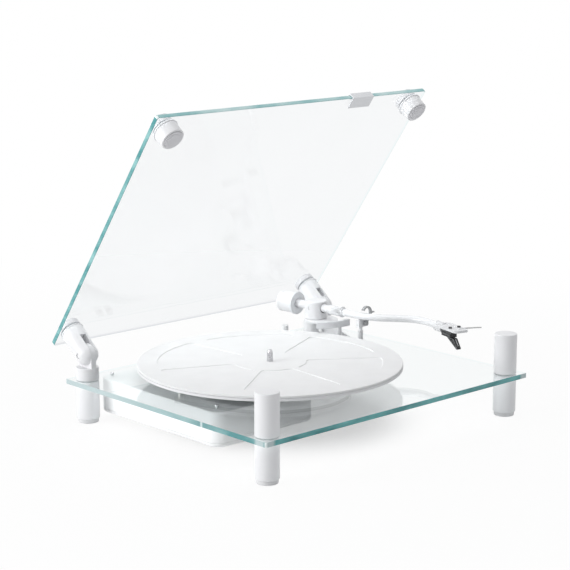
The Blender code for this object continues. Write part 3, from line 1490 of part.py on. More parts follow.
def build_finger(shell, top):
    """Thin blade that sweeps outwards and forwards from the shell's side."""
    start = arm_line(FINGER_T, 0.0)
    bend = arm_line(FINGER_T, HEAD_HALF)
    tip = arm_line(FINGER_T + FINGER_SWEEP, FINGER_LENGTH)
    bm = bmesh.new()
    rings = []
    for place, rise, share in (
        (start, 0.0, 1.0),
        (bend, 0.0, 1.0),
        (tip, FINGER_RISE, FINGER_TIP_SHARE),
    ):
        along = Vector((math.cos(HEAD_TURN), math.sin(HEAD_TURN))) * FINGER_WIDTH / 2 * share
        corners = []
        for side, height in ((-1, 0), (1, 0), (1, 1), (-1, 1)):
            flat = place + along * side
            level = top + (height - 1 / 2) * FINGER_THICK + rise
            corners.append(bm.verts.new((flat.x, flat.y, level)))
        rings.append(corners)
    for one, other in zip(rings, rings[1:]):
        for i in range(4):
            j = (i + 1) % 4
            bm.faces.new((one[i], one[j], other[j], other[i]))
    bm.faces.new(rings[0])
    bm.faces.new(rings[-1])
    bmesh.ops.recalc_face_normals(bm, faces=bm.faces)
    tool(shell, bm, "head_finger", "UNION")


def build_stylus(pivot, turn, cart_low):
    """Wedge-shaped holder that slopes down and forwards to the tip."""
    top = cart_low - GAP
    tip = STYLUS_TIP - ARM_AXIS
    outline = (
        (STYLUS_BACK_T, top),
        (-STYLUS_NOSE_BACK / 2, tip),
        (STYLUS_FRONT_T - GAP, tip),
        (STYLUS_FRONT_T, tip + STYLUS_NOSE),
        (STYLUS_TOP_FRONT_T, top),
    )
    bm = prism(outline, -STYLUS_HALF, STYLUS_HALF, "Y")
    soften(bm, list(bm.edges), STYLUS_EDGE)
    for vert in bm.verts:
        place = arm_line(vert.co.x, vert.co.y)
        vert.co = (place.x, place.y, vert.co.z)
    bmesh.ops.recalc_face_normals(bm, faces=bm.faces)
    shown("stylus", bm, BLACK_PLASTIC, pivot, turn)


def build_weight(pivot, turn):
    bore = SHAFT_RADIUS + GAP
    dial_back = DIAL_FRONT + DIAL_THICK
    dial = (
        (bore, -dial_back),
        (DIAL_RADIUS - DIAL_EDGE, -dial_back),
        (DIAL_RADIUS, -dial_back + DIAL_EDGE),
        (DIAL_RADIUS, -DIAL_FRONT - DIAL_EDGE),
        (DIAL_RADIUS - DIAL_EDGE, -DIAL_FRONT),
        (DIAL_RECESS_RADIUS, -DIAL_FRONT),
        (DIAL_RECESS_RADIUS, -DIAL_FRONT - DIAL_RECESS),
        (bore, -DIAL_FRONT - DIAL_RECESS),
    )
    ring = along_s(lathe(dial, POST_SIDES, ring=True))
    shown("weight_dial", ring, CAST_METAL, pivot, turn)
    front = dial_back + GAP
    weight = (
        (bore, -WEIGHT_BACK),
        (WEIGHT_RADIUS - WEIGHT_EDGE, -WEIGHT_BACK),
        (WEIGHT_RADIUS, -WEIGHT_BACK + WEIGHT_EDGE),
        (WEIGHT_RADIUS, -front - DIAL_EDGE),
        (WEIGHT_RADIUS - DIAL_EDGE, -front),
        (bore, -front),
    )
    mass = along_s(lathe(weight, POST_SIDES, ring=True))
    shown("counterweight", mass, WHITE_LACQUER, pivot, turn)


def main():
    clear_scene()
    build_plate()
    build_posts()
    build_lid()
    build_housing()
    build_platter()
    build_knob()
    at = spot(ARM_X, ARM_Y)
    turn = (0.0, 0.0, ARM_TURN - TURN / 4)
    build_arm_base(at, turn)
    build_cueing(at, turn)
    build_rest(at, turn)
    build_arm(at, turn)


main()
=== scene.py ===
"""Looks of the turntable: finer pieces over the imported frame, their finishes, the studio and the camera.

Places are given as in the part's source: metres from the middle of the glass
plate, heights from the floor, and the tonearm's S and V about its pivot. T
runs forwards along the headshell, from the tip of the stylus.
"""

import math

import bmesh
import bpy
from mathutils import Matrix, Vector


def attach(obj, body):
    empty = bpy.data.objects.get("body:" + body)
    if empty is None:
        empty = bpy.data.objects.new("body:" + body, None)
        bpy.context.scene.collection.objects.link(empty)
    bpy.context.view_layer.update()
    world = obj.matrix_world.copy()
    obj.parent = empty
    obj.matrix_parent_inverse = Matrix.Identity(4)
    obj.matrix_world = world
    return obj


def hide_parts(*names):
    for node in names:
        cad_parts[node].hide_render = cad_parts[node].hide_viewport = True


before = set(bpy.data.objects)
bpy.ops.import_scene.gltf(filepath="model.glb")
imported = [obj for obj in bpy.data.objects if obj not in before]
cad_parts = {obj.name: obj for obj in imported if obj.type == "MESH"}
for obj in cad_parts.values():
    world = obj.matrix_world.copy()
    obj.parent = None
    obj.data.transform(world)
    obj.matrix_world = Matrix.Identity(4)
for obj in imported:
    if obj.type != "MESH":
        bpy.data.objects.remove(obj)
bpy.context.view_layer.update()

# Air between pieces, and how far a cutting body reaches beyond what it cuts.
GAP = 0.0003
OVERRUN, SHANK_OVERRUN, GROOVE_CLEAR = 0.002, 0.001, 0.001

TURN = 2 * math.pi
QUARTER = TURN / 4
ON_AXIS, SAME_SPOT, SAME_LEVEL = 1e-9, 1e-7, 1e-6

# Sides of round bodies, the largest body first, and steps in a fillet.
DISC = 192
ROUND = 96
MIDDLE = 64
FINE = 32
FILLET_STEPS = 5

# Broken edges, fillets and small trims, the finest first.
HAIR, FINE_EDGE, EDGE, BROKEN_EDGE, DULL_EDGE = 0.0001, 0.0002, 0.0003, 0.0004, 0.0005
SOFT_EDGE, FULL_EDGE, ROUND_EDGE, FOOT_EDGE = 0.0006, 0.0007, 0.0008, 0.0009
LEG_EDGE, POST_EDGE, CORNER_EDGE, YAW_EDGE, WEIGHT_EDGE = 0.0010, 0.0011, 0.0012, 0.0015, 0.0018

# Plate, posts, legs and feet.
PLATE_WIDTH, PLATE_DEPTH, PLATE_THICK = 0.436, 0.365, 0.006
PLATE_TOP = 0.0535
PLATE_LOW = PLATE_TOP - PLATE_THICK
GLASS_CORNER, GLASS_ARRIS, SOLID_ARRIS = 0.003, 0.0007, 0.0008
POST_X, POST_Y = 0.1985, 0.163
POST_RADIUS, POST_HEIGHT = 0.014, 0.050
STUD_RADIUS, STUD_RISE = 0.004, 0.012
FOOT_RADIUS, FOOT_HEIGHT = 0.0125, 0.005
SPIGOT_RADIUS, SPIGOT_HEIGHT = 0.005, 0.005

# Lid and its hinge.
STUB_HEIGHT, PIVOT_RISE, LID_OPEN = 0.0155, 0.031, math.radians(54.84)
TONGUE_THICK, TONGUE_RADIUS, PIN_RADIUS = 0.0073, 0.0133, 0.003
BALL_RADIUS, NECK_RISE, ARM_NECK_RADIUS = 0.0138, 0.006, 0.0139
BALL_FROM, BALL_SPAN, BALL_STEPS = -82.0, 85.0, 16
ARM_TOP_RADIUS, ARM_LEAN, FLANGE_RADIUS, FLANGE_THICK = 0.0143, 0.002, 0.0149, 0.0015
SLOT_RISE = 0.0205
LID_RISE, LID_THICK = 0.0688, 0.0055
CAP_HEIGHT, CAP_SHANK, CAP_RADIUS = 0.0072, 0.0072, POST_RADIUS - 0.00015
BUMPER_FLANGE, BUMPER_NECK, BUMPER_END, BUMPER_LIP = 0.016, 0.0150, 0.0142, 0.0015
PAD_RADIUS, PAD_THICK, PAD_STEP_RADIUS, PAD_STEP = 0.0120, 0.0037, 0.0085, 0.0006
GRIP_MIDDLE, GRIP_WIDTH, GRIP_SHEET, GRIP_INNER, GRIP_OUTER = 0.104, 0.036, 0.0014, 0.015, 0.0045
PIVOT_LEVEL = PLATE_TOP + PIVOT_RISE
LID_LOW = LID_RISE - PIVOT_RISE
LID_TOP = LID_LOW + LID_THICK
LID_BACK = PLATE_DEPTH / 2 - POST_Y
LID_FRONT = LID_BACK - PLATE_DEPTH
LID_REAR_POINTS = (
    (LID_BACK - SOLID_ARRIS) * math.cos(LID_OPEN) + LID_TOP * math.sin(LID_OPEN),
    LID_BACK * math.cos(LID_OPEN) + (LID_TOP - SOLID_ARRIS) * math.sin(LID_OPEN),
)
CENTRING = (PLATE_DEPTH / 2 - POST_Y - max(LID_REAR_POINTS)) / 2

# Housing under the plate.
HOUSE_X0, HOUSE_X1, HOUSE_Y0, HOUSE_Y1 = -0.179, -0.022, -0.056, 0.168
HOUSE_LOW, HOUSE_SPLIT, HOUSE_CORNER, HOUSE_WALL = 0.009, 0.014, 0.015, 0.0025
HOUSE_FILLET, HOUSE_EDGE, HOUSE_ROOF = 0.0042, 0.0012, 0.0028
LIP_RISE, POCKET_RISE = 0.002, 0.004
SOCKET_LEVEL, SOCKET_REACH = 0.0339, 0.01
SOCKET_HOLES = ((-0.136, 0.0043), (-0.0995, 0.0045), (-0.0845, 0.0045))
STUD_X, STUD_YS = -0.161, (-0.035, 0.163)
STUD_STEM, STUD_DEPTH, STUD_HEAD, STUD_DOME = 0.0015, 0.0057, 0.0026, 0.0017

# Platter and drive.
PLATTER_X, PLATTER_Y, PLATTER_RADIUS = -0.0413, 0.0052, 0.1615
PLATTER_PLATE, PLATTER_WALL = 0.0015, 0.0017
MAT_TOP, MAT_THICK, MAT_RADIUS, SKIRT_LOW, MAT_BORE_POINT = 0.025, 0.0025, 0.1611, 0.0190, 0.001
WEDGE_INNER, WEDGE_OUTER, WEDGE_SPAN, WEDGE_CORNER = 0.044, 0.137, math.radians(50.5), 0.006
WEDGE_DEPTH, WEDGE_SLOPE, WEDGES = 0.0008, 0.0007, 6
SPINDLE_RADIUS, SPINDLE_RISE = 0.0036, 0.0144
SPINDLE_CONE, SPINDLE_NECK, SPINDLE_NECK_IN, SPINDLE_TIP_IN = 0.0030, 0.0022, 0.0004, 0.0012
SUB_RADIUS, SUB_LOW, SUB_TOP, SUB_BOSS = 0.098, 0.006, 0.018, 0.070
SUB_HUB, SUB_HUB_LOW, SUB_PLATE, SUB_WALL = 0.012, 0.0058, 0.003, 0.004
AXLE_RADIUS, AXLE_DEPTH, BEARING_RADIUS = 0.004, 0.0275, 0.011
MOTOR_X, MOTOR_Y, PULLEY_RADIUS = -0.150, 0.045, 0.006
KNOB_X, KNOB_Y, KNOB_RADIUS, KNOB_TOP = 0.125, 0.158, 0.0045, 0.0168
KNOB_STEM, KNOB_DEPTH, KNOB_COLLAR, KNOB_COLLAR_THICK = 0.003, 0.010, 0.0048, 0.002
KNOB_MARK_HALF, KNOB_MARK_DEPTH, KNOB_MARK_EDGE = 0.0004, 0.0006, 0.00008

# Tonearm's column, disc and pivot.
ARM_X, ARM_Y, ARM_TURN, ARM_AXIS = 0.1374, 0.1112, math.radians(6.85), 0.048
REACH_OF_ARM, TIP_V, HEAD_TURN = 0.2329, -0.0049, math.radians(-22.0)
COLUMN_S, COLUMN_RADIUS, COLUMN_TOP, COLUMN_STEM, COLUMN_DEPTH = -0.0045, 0.013, 0.0297, 0.008, 0.014
PILLAR_S, PILLAR_RADIUS, WEB_HALF, WEB_RISE = 0.039, 0.0034, 0.0026, 0.006
NUT_RADIUS, NUT_THICK = 0.0140, 0.006
ROUND_PLATE_S, ROUND_PLATE_RADIUS, ROUND_PLATE_LOW, ROUND_PLATE_TOP = 0.0093, 0.0215, 0.030, 0.033
YAW_RADIUS, YAW_TOP, YAW_STEM, YAW_STEM_LOW, YAW_BORE_LOW = 0.0145, 0.0565, 0.005, 0.020, 0.019
ABOVE_COLUMN = 0.04
TUNNEL_RADIUS, TRUNNION, TRUNNION_SUNK = 0.0071, 0.0018, 0.0008
CORE_RADIUS, CORE_FRONT, CORE_BACK, SHAFT_RADIUS, SHAFT_END = 0.006, 0.0160, 0.0155, 0.00535, 0.0555

# Cueing gear.
LIFT_RADIUS, LIFT_WIDTH, LIFT_LOW, LIFT_TOP = 0.055, 0.005, 0.0312, 0.0395
LIFT_FROM, LIFT_TO, LIFT_STEPS = math.radians(-0.5), math.radians(-50.0), 48
STRAP_HALF, STRAP_TOP = 0.0025, 0.0340
LIFT_STEM, LIFT_STEM_LENGTH, LIFT_STEM_TOP, LIFT_BORE_LOW = 0.0017, 0.018, 0.0337, 0.0129
CUE_S, CUE_RISE, CUE_LENGTH, CUE_SLOPE = 0.012, 0.020, 0.030, math.radians(-20.0)
CUE_SHAFT, CUE_SHAFT_IN, CUE_SHAFT_OUT, CUE_BORE_HALF = 0.0015, 0.0055, 0.018, 0.006
CUE_COLLAR, CUE_COLLAR_FROM, CUE_COLLAR_TO = 0.0030, -0.0066, -0.0044
CUE_ROOT, CUE_TIP, CUE_BLADE_IN = 0.0035, 0.0024, 0.015

# Counterweight and dial.
WEIGHT_RADIUS, WEIGHT_BACK, DIAL_RADIUS, DIAL_FRONT, DIAL_THICK = 0.0138, 0.0585, 0.0150, 0.031, 0.0043
DIAL_HUB, DIAL_HUB_SUNK, DIAL_TICKS, TICK = 0.0078, 0.0010, 60, (0.0005, 0.0004, 0.0022)
WEIGHT_LINE, WEIGHT_LINE_WIDTH, WEIGHT_LINE_DEPTH = 0.0541, 0.0006, 0.0003

# Tube.
TUBE_RADIUS, COLLAR_RADIUS, TUBE_START, COLLAR_END = 0.0046, 0.0061, 0.0235, 0.050
TUBE_CORNERS = ((0.0, 0.0), (0.093, -0.0073), (0.1495, 0.0288))
BEND_LENGTH, BEND_STEPS, TUBE_END_T, TUBE_SIDES, TUBE_EDGE = 0.024, 32, -0.0475, 40, 0.00015
STEM_RADIUS, STEM_START, STEM_END, STEM_BORE_END = 0.0045, 0.010, 0.0265, 0.0275
RING_STARTS, RING_WIDTH, RING_DEPTH = (0.0262, 0.0474), 0.0004, 0.00025

# Headshell, with its finger blade and screws.
HEAD_BACK_T, HEAD_FRONT_T, HEAD_HALF, HEAD_CORNER = -0.040, 0.007, 0.0105, 0.006
HEAD_TOP, HEAD_THICK, NECK_RADIUS, NECK_BACK_T, NECK_FRONT_T = 0.0535, 0.0030, 0.0066, -0.051, -0.034
NECK_RING, NECK_RING_WIDTH, NECK_RING_DEPTH = 0.0045, 0.0005, 0.0003
FINGER_T, FINGER_WIDTH, FINGER_THICK, FINGER_LENGTH, FINGER_SWEEP = -0.0030, 0.0032, 0.0012, 0.0275, 0.010
FINGER_RISE, FINGER_TIP, FINGER_BEND_T, FINGER_BEND_OUT, FINGER_STEPS = 0.0012, 0.6, 0.0015, 0.006, 16
SCREW_T, SCREW_SIDE, SCREW_RADIUS, SCREW_HEAD, SCREW_LENGTH = -0.0110, 0.00635, 0.0013, 0.0013, 0.0068

# Cartridge and stylus.
CART_BACK_T, CART_FRONT_T, CART_HALF, CART_LOW, CART_FLANGE = -0.0335, -0.0130, 0.0055, 0.0405, 0.0027
CART_JOIN, WELL_DEPTH = 0.001, 0.0045
SEAM_RISE, SEAM_WIDTH, SEAM_DEPTH = 0.0028, 0.0003, 0.0006
SEAM_CORE_LOW, SEAM_CORE_TOP = 0.002, 0.004
# Inset, widths and least face areas of the painted highlight bands on the cartridge and stylus.
BAND_INSET, CART_BAND, STYLUS_BAND, CART_LARGE, STYLUS_LARGE = 0.0003, 0.0002, 0.0003, 1.5e-5, 2e-5
FLANGE_BACK_T, FLANGE_FRONT_T, FLANGE_HALF = -0.0180, -0.0050, 0.0085
STYLUS_TIP, STYLUS_HALF, STYLUS_BACK_T, STYLUS_TOP_T = 0.0279, 0.0030, -0.0255, -0.0085
STYLUS_TIP_BACK_T, STYLUS_NOSE = -0.00225, 0.0016
SIGHT_DROP, SIGHT_START, SIGHT_LENGTH, SIGHT_HALF, SIGHT_RAISED = 0.0022, 0.001, 0.0095, 0.0004, 0.00008

# Arm rest and its clip.
REST_S, REST_V, REST_BLOCK, REST_LIP = 0.0790, -0.0056, (0.0335, -0.0115, 0.0050, 0.005), 0.0468
REST_STEM, REST_DEPTH, REST_FOOT, REST_FOOT_TOP = 0.002, 0.010, 0.0048, 0.0015
REST_RADIUS, REST_SHOULDER, REST_NECK, REST_JOIN = 0.0034, 0.029, 0.0024, 0.001
LATCH_V, LATCH_RISE, LATCH_WIDTH, LATCH_OPEN = -0.0006, 0.038, 0.0040, math.radians(25.0)
LATCH_HUB, LATCH_PIN = 0.0030, 0.0013
HOOK_RISE, HOOK_RADIUS, HOOK_THICK = 0.0502, 0.0076, 0.0019
HOOK_FROM, HOOK_TO, HOOK_STEPS = math.radians(-40.0), math.radians(172.0), 44
TAB_AT, TAB_LENGTH, TAB_HALF = math.radians(25.0), 0.006, 0.00075


def spot(x, y, z=0.0):
    """A place given from the plate's middle, in the frame whose origin is the whole object's middle."""
    return Vector((x, y + CENTRING, z))


LID = Matrix.Translation(spot(0.0, POST_Y, PIVOT_LEVEL)) @ Matrix.Rotation(-LID_OPEN, 4, "X")
ARM_FLOOR = Matrix.Translation(spot(ARM_X, ARM_Y)) @ Matrix.Rotation(ARM_TURN - QUARTER, 4, "Z")
ARM = ARM_FLOOR @ Matrix.Translation((0.0, 0.0, PLATE_TOP + ARM_AXIS))
UPRIGHT = Matrix.Translation(spot(0.0, 0.0))


# Outlines and bodies.


def arc(radius, start, end, steps, x=0.0, y=0.0):
    angles = (start + (end - start) * step / steps for step in range(steps + 1))
    return [(x + radius * math.cos(a), y + radius * math.sin(a)) for a in angles]


def circle(radius, sides, x=0.0, y=0.0):
    return arc(radius, 0.0, TURN, sides, x, y)[:-1]


def quarter(steps):
    """Angles from level to upright."""
    return [QUARTER * step / steps for step in range(steps + 1)]


def rounded(x0, x1, y0, y1, radius, steps=8):
    corners = (
        (x1 - radius, y0 + radius, -QUARTER),
        (x1 - radius, y1 - radius, 0.0),
        (x0 + radius, y1 - radius, QUARTER),
        (x0 + radius, y0 + radius, 2 * QUARTER),
    )
    return [p for x, y, start in corners for p in arc(radius, start, start + QUARTER, steps, x, y)]


def strip(start, end, across):
    """Outline of a straight strip, ACROSS being half its width."""
    return [(start - across)[:], (end - across)[:], (end + across)[:], (start + across)[:]]


def bent(start, middle, end, share):
    """The point at SHARE of a curve that leaves START towards MIDDLE and comes to END from there."""
    return start * (1 - share) ** 2 + middle * 2 * share * (1 - share) + end * share**2


def filleted(points, steps=FILLET_STEPS):
    """Profile through (radius, height, fillet) points, each corner rounded by its own fillet."""
    done = []
    for i, point in enumerate(points):
        here, fillet = Vector(point[:2]), point[2] if len(point) > 2 else 0.0
        if not fillet or i in (0, len(points) - 1):
            done.append(here[:])
            continue
        back = (Vector(points[i - 1][:2]) - here).normalized()
        on = (Vector(points[i + 1][:2]) - here).normalized()
        half = back.angle(on) / 2
        reach = fillet / math.tan(half)
        start, end = here + back * reach, here + on * reach
        centre = here + (back + on).normalized() * (fillet / math.sin(half))
        first, last = start - centre, end - centre
        sweep = first.angle_signed(last)
        for step in range(steps + 1):
            arm = first.copy()
            arm.rotate(Matrix.Rotation(-sweep * step / steps, 2))
            done.append((centre + arm)[:])
    return done


def turn_to_s(bm, at=0.0):
    """BM turned from the upright to the tonearm's S, with its own zero at AT."""
    for vert in bm.verts:
        x, y, z = vert.co
        vert.co = (z + at, y, -x)


def lathe(profile, sides=ROUND, along="Z"):
    """Body of revolution. The profile runs from the axis round the outside and back to the axis."""
    bm = bmesh.new()
    rings = []
    for radius, height in profile:
        points = [(0.0, 0.0)] if radius < ON_AXIS else circle(radius, sides)
        rings.append([bm.verts.new((a, b, height)) for a, b in points])
    closed = profile[0][0] > ON_AXIS and profile[-1][0] > ON_AXIS
    pairs = list(zip(rings, rings[1:])) + ([(rings[-1], rings[0])] if closed else [])
    for one, other in pairs:
        for i in range(sides):
            j = (i + 1) % sides
            corners = [one[i % len(one)], one[j % len(one)], other[j % len(other)], other[i % len(other)]]
            distinct = [v for k, v in enumerate(corners) if v not in corners[:k]]
            if len(distinct) > 2:
                bm.faces.new(distinct)
    bmesh.ops.recalc_face_normals(bm, faces=bm.faces)
    if along == "S":
        turn_to_s(bm)
    return bm


def skinned(bm, rings):
    """BM closed over its rings of points, each joined to the next, with a cap on both ends."""
    for one, other in zip(rings, rings[1:]):
        for i in range(len(one)):
            j = (i + 1) % len(one)
            bm.faces.new((one[i], one[j], other[j], other[i]))
    bm.faces.new(list(reversed(rings[0])))
    bm.faces.new(rings[-1])
    bmesh.ops.recalc_face_normals(bm, faces=bm.faces)
    return bm


def prism(outline, low, high, along="Z"):
    places = {
        "Z": lambda a, b, h: (a, b, h),
        "X": lambda a, b, h: (h, a, b),
        "Y": lambda a, b, h: (a, h, b),
    }
    bm = bmesh.new()
    rings = [[bm.verts.new(places[along](a, b, h)) for a, b in outline] for h in (low, high)]
    return skinned(bm, rings)


def stack(layers):
    """Body through level outlines of equal length, given as (outline, height)."""
    bm = bmesh.new()
    rings = [[bm.verts.new((a, b, height)) for a, b in outline] for outline, height in layers]
    return skinned(bm, rings)


def rod(radius, start, end, sides=FINE):
    start, end = Vector(start), Vector(end)
    bm = prism(circle(radius, sides), 0.0, (end - start).length)
    turn = Vector((0.0, 0.0, 1.0)).rotation_difference(end - start).to_matrix().to_4x4()
    bm.transform(Matrix.Translation(start) @ turn)
    return bm


def moved(bm, x=0.0, y=0.0, z=0.0):
    bm.transform(Matrix.Translation((x, y, z)))
    return bm


def turned(profile, x=0.0, y=0.0, sides=ROUND):
    """Upright body of revolution through a profile with fillets, its axis at X, Y."""
    return moved(lathe(filleted(profile), sides), x, y)


def turned_ring(profile, sides, along="Z"):
    """Body of revolution of a closed profile that stays off the axis."""
    return lathe(filleted(profile + profile[:1])[:-1], sides, along)


def drill(radius, low, high, x=0.0, y=0.0, sides=FINE):
    """Upright round bar that cuts a hole at X, Y."""
    return moved(prism(circle(radius, sides), low, high), x, y)


def together(*bodies):
    whole = bodies[0]
    for other in bodies[1:]:
        scrap = bpy.data.meshes.new("scrap")
        other.to_mesh(scrap)
        other.free()
        whole.from_mesh(scrap)
        bpy.data.meshes.remove(scrap)
    return whole


def linked(name, data):
    obj = bpy.data.objects.new(name, data)
    bpy.context.scene.collection.objects.link(obj)
    return obj


def as_mesh(bm, name):
    """BM as a mesh, with BM itself gone."""
    mesh = bpy.data.meshes.new(name)
    bm.to_mesh(mesh)
    bm.free()
    return mesh


def settle(obj):
    """The evaluated object as a plain mesh, with its modifiers and the object itself gone."""
    graph = bpy.context.evaluated_depsgraph_get()
    mesh = bpy.data.meshes.new_from_object(obj.evaluated_get(graph))
    bpy.data.objects.remove(obj)
    bm = bmesh.new()
    bm.from_mesh(mesh)
    bpy.data.meshes.remove(mesh)
    return bm


def carved(bm, cuts=(), joins=(), bevel=0.0, segments=2, angle=38.0):
    """BM with other bodies joined on and cut out, and its sharp edges broken."""
    obj = linked("blank", as_mesh(bm, "blank"))
    helpers = []
    for bodies, operation in ((joins, "UNION"), (cuts, "DIFFERENCE")):
        for body in bodies:
            helper = linked("helper", as_mesh(body, "helper"))
            helpers.append(helper)
            step = obj.modifiers.new(operation, "BOOLEAN")
            step.operation = operation
            step.solver = "EXACT"
            step.object = helper
    if bevel:
        step = obj.modifiers.new("broken_edges", "BEVEL")
        step.width = bevel
        step.segments = segments
        step.limit_method = "ANGLE"
        step.angle_limit = math.radians(angle)
    done = settle(obj)
    for helper in helpers:
        bpy.data.objects.remove(helper)
    bmesh.ops.remove_doubles(done, verts=done.verts, dist=SAME_SPOT)
    return done


def piece(name, bm, looks, body, nodes=(), place=UPRIGHT, sharp=35.0, faces=None):
    """A finished piece: its place goes into its mesh, and it rides on a body of the frame."""
    if faces:
        for face in bm.faces:
            face.material_index = faces(face)
    bm.transform(place)
    mesh = as_mesh(bm, name)
    mesh.shade_smooth()
    mesh.set_sharp_from_angle(angle=math.radians(sharp))
    for look in looks if isinstance(looks, tuple) else (looks,):
        mesh.materials.append(look)
    obj = linked(name, mesh)
    flat = obj.modifiers.new("flat_faces_kept_flat", "WEIGHTED_NORMAL")
    flat.keep_sharp = True
    graph = bpy.context.evaluated_depsgraph_get()
    shaded = bpy.data.meshes.new_from_object(
        obj.evaluated_get(graph), preserve_all_data_layers=True, depsgraph=graph
    )
    obj.modifiers.remove(flat)
    obj.data = shaded
    bpy.data.meshes.remove(mesh)
    shaded.name = name
    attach(obj, body)
    if nodes:
        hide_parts(*nodes)
    return obj


# Shared effects of the finishes.

VECTOR, FLOAT, COLOUR = "NodeSocketVector", "NodeSocketFloat", "NodeSocketColor"
PLACE = ("Place", VECTOR, (0.0, 0.0, 0.0))


def effect(name, inputs, outputs, kind="ShaderNodeTree"):
    """A node group with its sockets, and the nodes that carry them inside it."""
    tree = bpy.data.node_groups.new(name, kind)
    for label, sort, *value in inputs:
        socket = tree.interface.new_socket(label, in_out="INPUT", socket_type=sort)
        if value:
            socket.default_value = value[0]
    for label, sort in outputs:
        tree.interface.new_socket(label, in_out="OUTPUT", socket_type=sort)
    return tree, tree.nodes.new("NodeGroupInput"), tree.nodes.new("NodeGroupOutput")


def feed(tree, target, links):
    """LINKS pairs each socket of TARGET with a socket that feeds it or with a value."""
    for name, source in links:
        if isinstance(source, bpy.types.NodeSocket):
            tree.links.new(source, target.inputs[name])
        else:
            target.inputs[name].default_value = source


def node(tree, kind, links=(), **settings):
    made = tree.nodes.new(kind)
    for key, value in settings.items():
        setattr(made, key, value)
    feed(tree, made, links)
    return made


def mixed(tree, factor, first, second):
    """Colour output of a mix of FIRST and SECOND, each a colour or the socket that gives it."""
    return node(
        tree, "ShaderNodeMix", ((0, factor), (6, first), (7, second)), data_type="RGBA"
    ).outputs[2]


def maths(tree, operation, *values):
    return node(tree, "ShaderNodeMath", tuple(enumerate(values)), operation=operation).outputs[0]


def noise(tree, place, scale, detail):
    links = (("Vector", place), ("Scale", scale), ("Detail", detail))
    return node(tree, "ShaderNodeTexNoise", links).outputs["Fac"]


def ranged(tree, value, start, end, low=0.0, high=1.0, **settings):
    """VALUE from START to END, stretched to run from LOW to HIGH."""
    links = (("Value", value), ("From Min", start), ("From Max", end), ("To Min", low), ("To Max", high))
    return node(tree, "ShaderNodeMapRange", links, **settings).outputs[0]


def grain_effect():
    """Fine moulded or sprayed texture: roughness between two bounds, and a height for bump."""
    tree, into, out = effect(
        "fine_grain",
        (PLACE, ("Scale", FLOAT, 600.0), ("Smooth", FLOAT, 0.3), ("Rough", FLOAT, 0.4)),
        (("Roughness", FLOAT), ("Height", FLOAT)),
    )
    place, scale = into.outputs["Place"], into.outputs["Scale"]
    fine = noise(tree, place, scale, detail=3.0)
    broad = noise(tree, place, maths(tree, "MULTIPLY", scale, 0.045), detail=2.0)
    both = maths(tree, "ADD", fine, broad)
    rough = ranged(tree, both, 0.7, 1.3, into.outputs["Smooth"], into.outputs["Rough"])
    feed(tree, out, (("Roughness", rough), ("Height", fine)))
    return tree


def tone_effect():
    """Slow drift between two tones, as in a large sprayed or moulded surface."""
    tree, into, out = effect(
        "tone_drift",
        (
            PLACE, ("Scale", FLOAT, 20.0), ("Tone", COLOUR, (0.8, 0.8, 0.8, 1.0)),
            ("Other Tone", COLOUR, (0.7, 0.7, 0.7, 1.0)),
        ),
        (("Colour", COLOUR),),
    )
    cloud = noise(tree, into.outputs["Place"], into.outputs["Scale"], detail=4.0)
    share = ranged(tree, cloud, 0.32, 0.68)
    feed(tree, out, (("Colour", mixed(tree, share, into.outputs["Tone"], into.outputs["Other Tone"])),))
    return tree


def dust_effect():
    """Sparse fine specks of dust, as a mask."""
    tree, into, out = effect(
        "fine_dust", (PLACE, ("Scale", FLOAT, 900.0), ("Amount", FLOAT, 0.3)), (("Mask", FLOAT),)
    )
    place = into.outputs["Place"]
    specks = node(tree, "ShaderNodeTexVoronoi", (("Vector", place), ("Scale", into.outputs["Scale"])))
    near = ranged(tree, specks.outputs["Distance"], 0.12, 0.2, 1.0, 0.0)
    here = maths(tree, "MULTIPLY", near, noise(tree, place, scale=45.0, detail=2.0))
    feed(tree, out, (("Mask", maths(tree, "MULTIPLY", here, into.outputs["Amount"])),))
    return tree


def turning_effect():
    """Concentric tool marks round an axis: a height for bump and a share for tone."""
    tree, into, out = effect(
        "turning_marks", (PLACE, ("Marks", FLOAT, 900.0)), (("Height", FLOAT), ("Share", FLOAT))
    )
    place = into.outputs["Place"]
    rings = node(
        tree,
        "ShaderNodeTexWave",
        (("Vector", place), ("Scale", into.outputs["Marks"]), ("Distortion", 0.6), ("Detail", 2.0)),
        wave_type="RINGS",
        rings_direction="Z",
    ).outputs["Fac"]
    share = maths(tree, "MULTIPLY", rings, noise(tree, place, scale=160.0, detail=2.0))
    feed(tree, out, (("Height", rings), ("Share", share)))
    return tree


def wear_effect():
    """Edge mask from the shape itself, for the rub along turned and folded edges."""
    tree, into, out = effect("edge_rub", (PLACE, ("Amount", FLOAT, 0.5)), (("Mask", FLOAT),))
    edge = ranged(tree, node(tree, "ShaderNodeNewGeometry").outputs["Pointiness"], 0.53, 0.62)
    broken = noise(tree, into.outputs["Place"], scale=420.0, detail=3.0)
    share = maths(tree, "MULTIPLY", edge, broken)
    feed(tree, out, (("Mask", maths(tree, "MULTIPLY", share, into.outputs["Amount"])),))
    return tree


GRAIN, TONE, DUST, MARKS, RUB = (
    grain_effect(),
    tone_effect(),
    dust_effect(),
    turning_effect(),
    wear_effect(),
)
DUST_COLOUR = (0.62, 0.61, 0.6)
MARKS_DEPTH = 0.000004


# Kinds of finish.


def tuned(colour, factor):
    return tuple(min(1.0, c * factor) for c in colour) + (1.0,)


def blank_material(name):
    """A material, its tree and shader, and the place on the piece that its patterns read."""
    material = bpy.data.materials.new(name)
    material.use_nodes = True
    tree = material.node_tree
    return material, tree, tree.nodes["Principled BSDF"], node(tree, "ShaderNodeTexCoord").outputs["Object"]


def shared(tree, group, place, *links):
    """A shared effect placed in a material with its own values."""
    return node(tree, "ShaderNodeGroup", (("Place", place), *links), node_tree=group).outputs


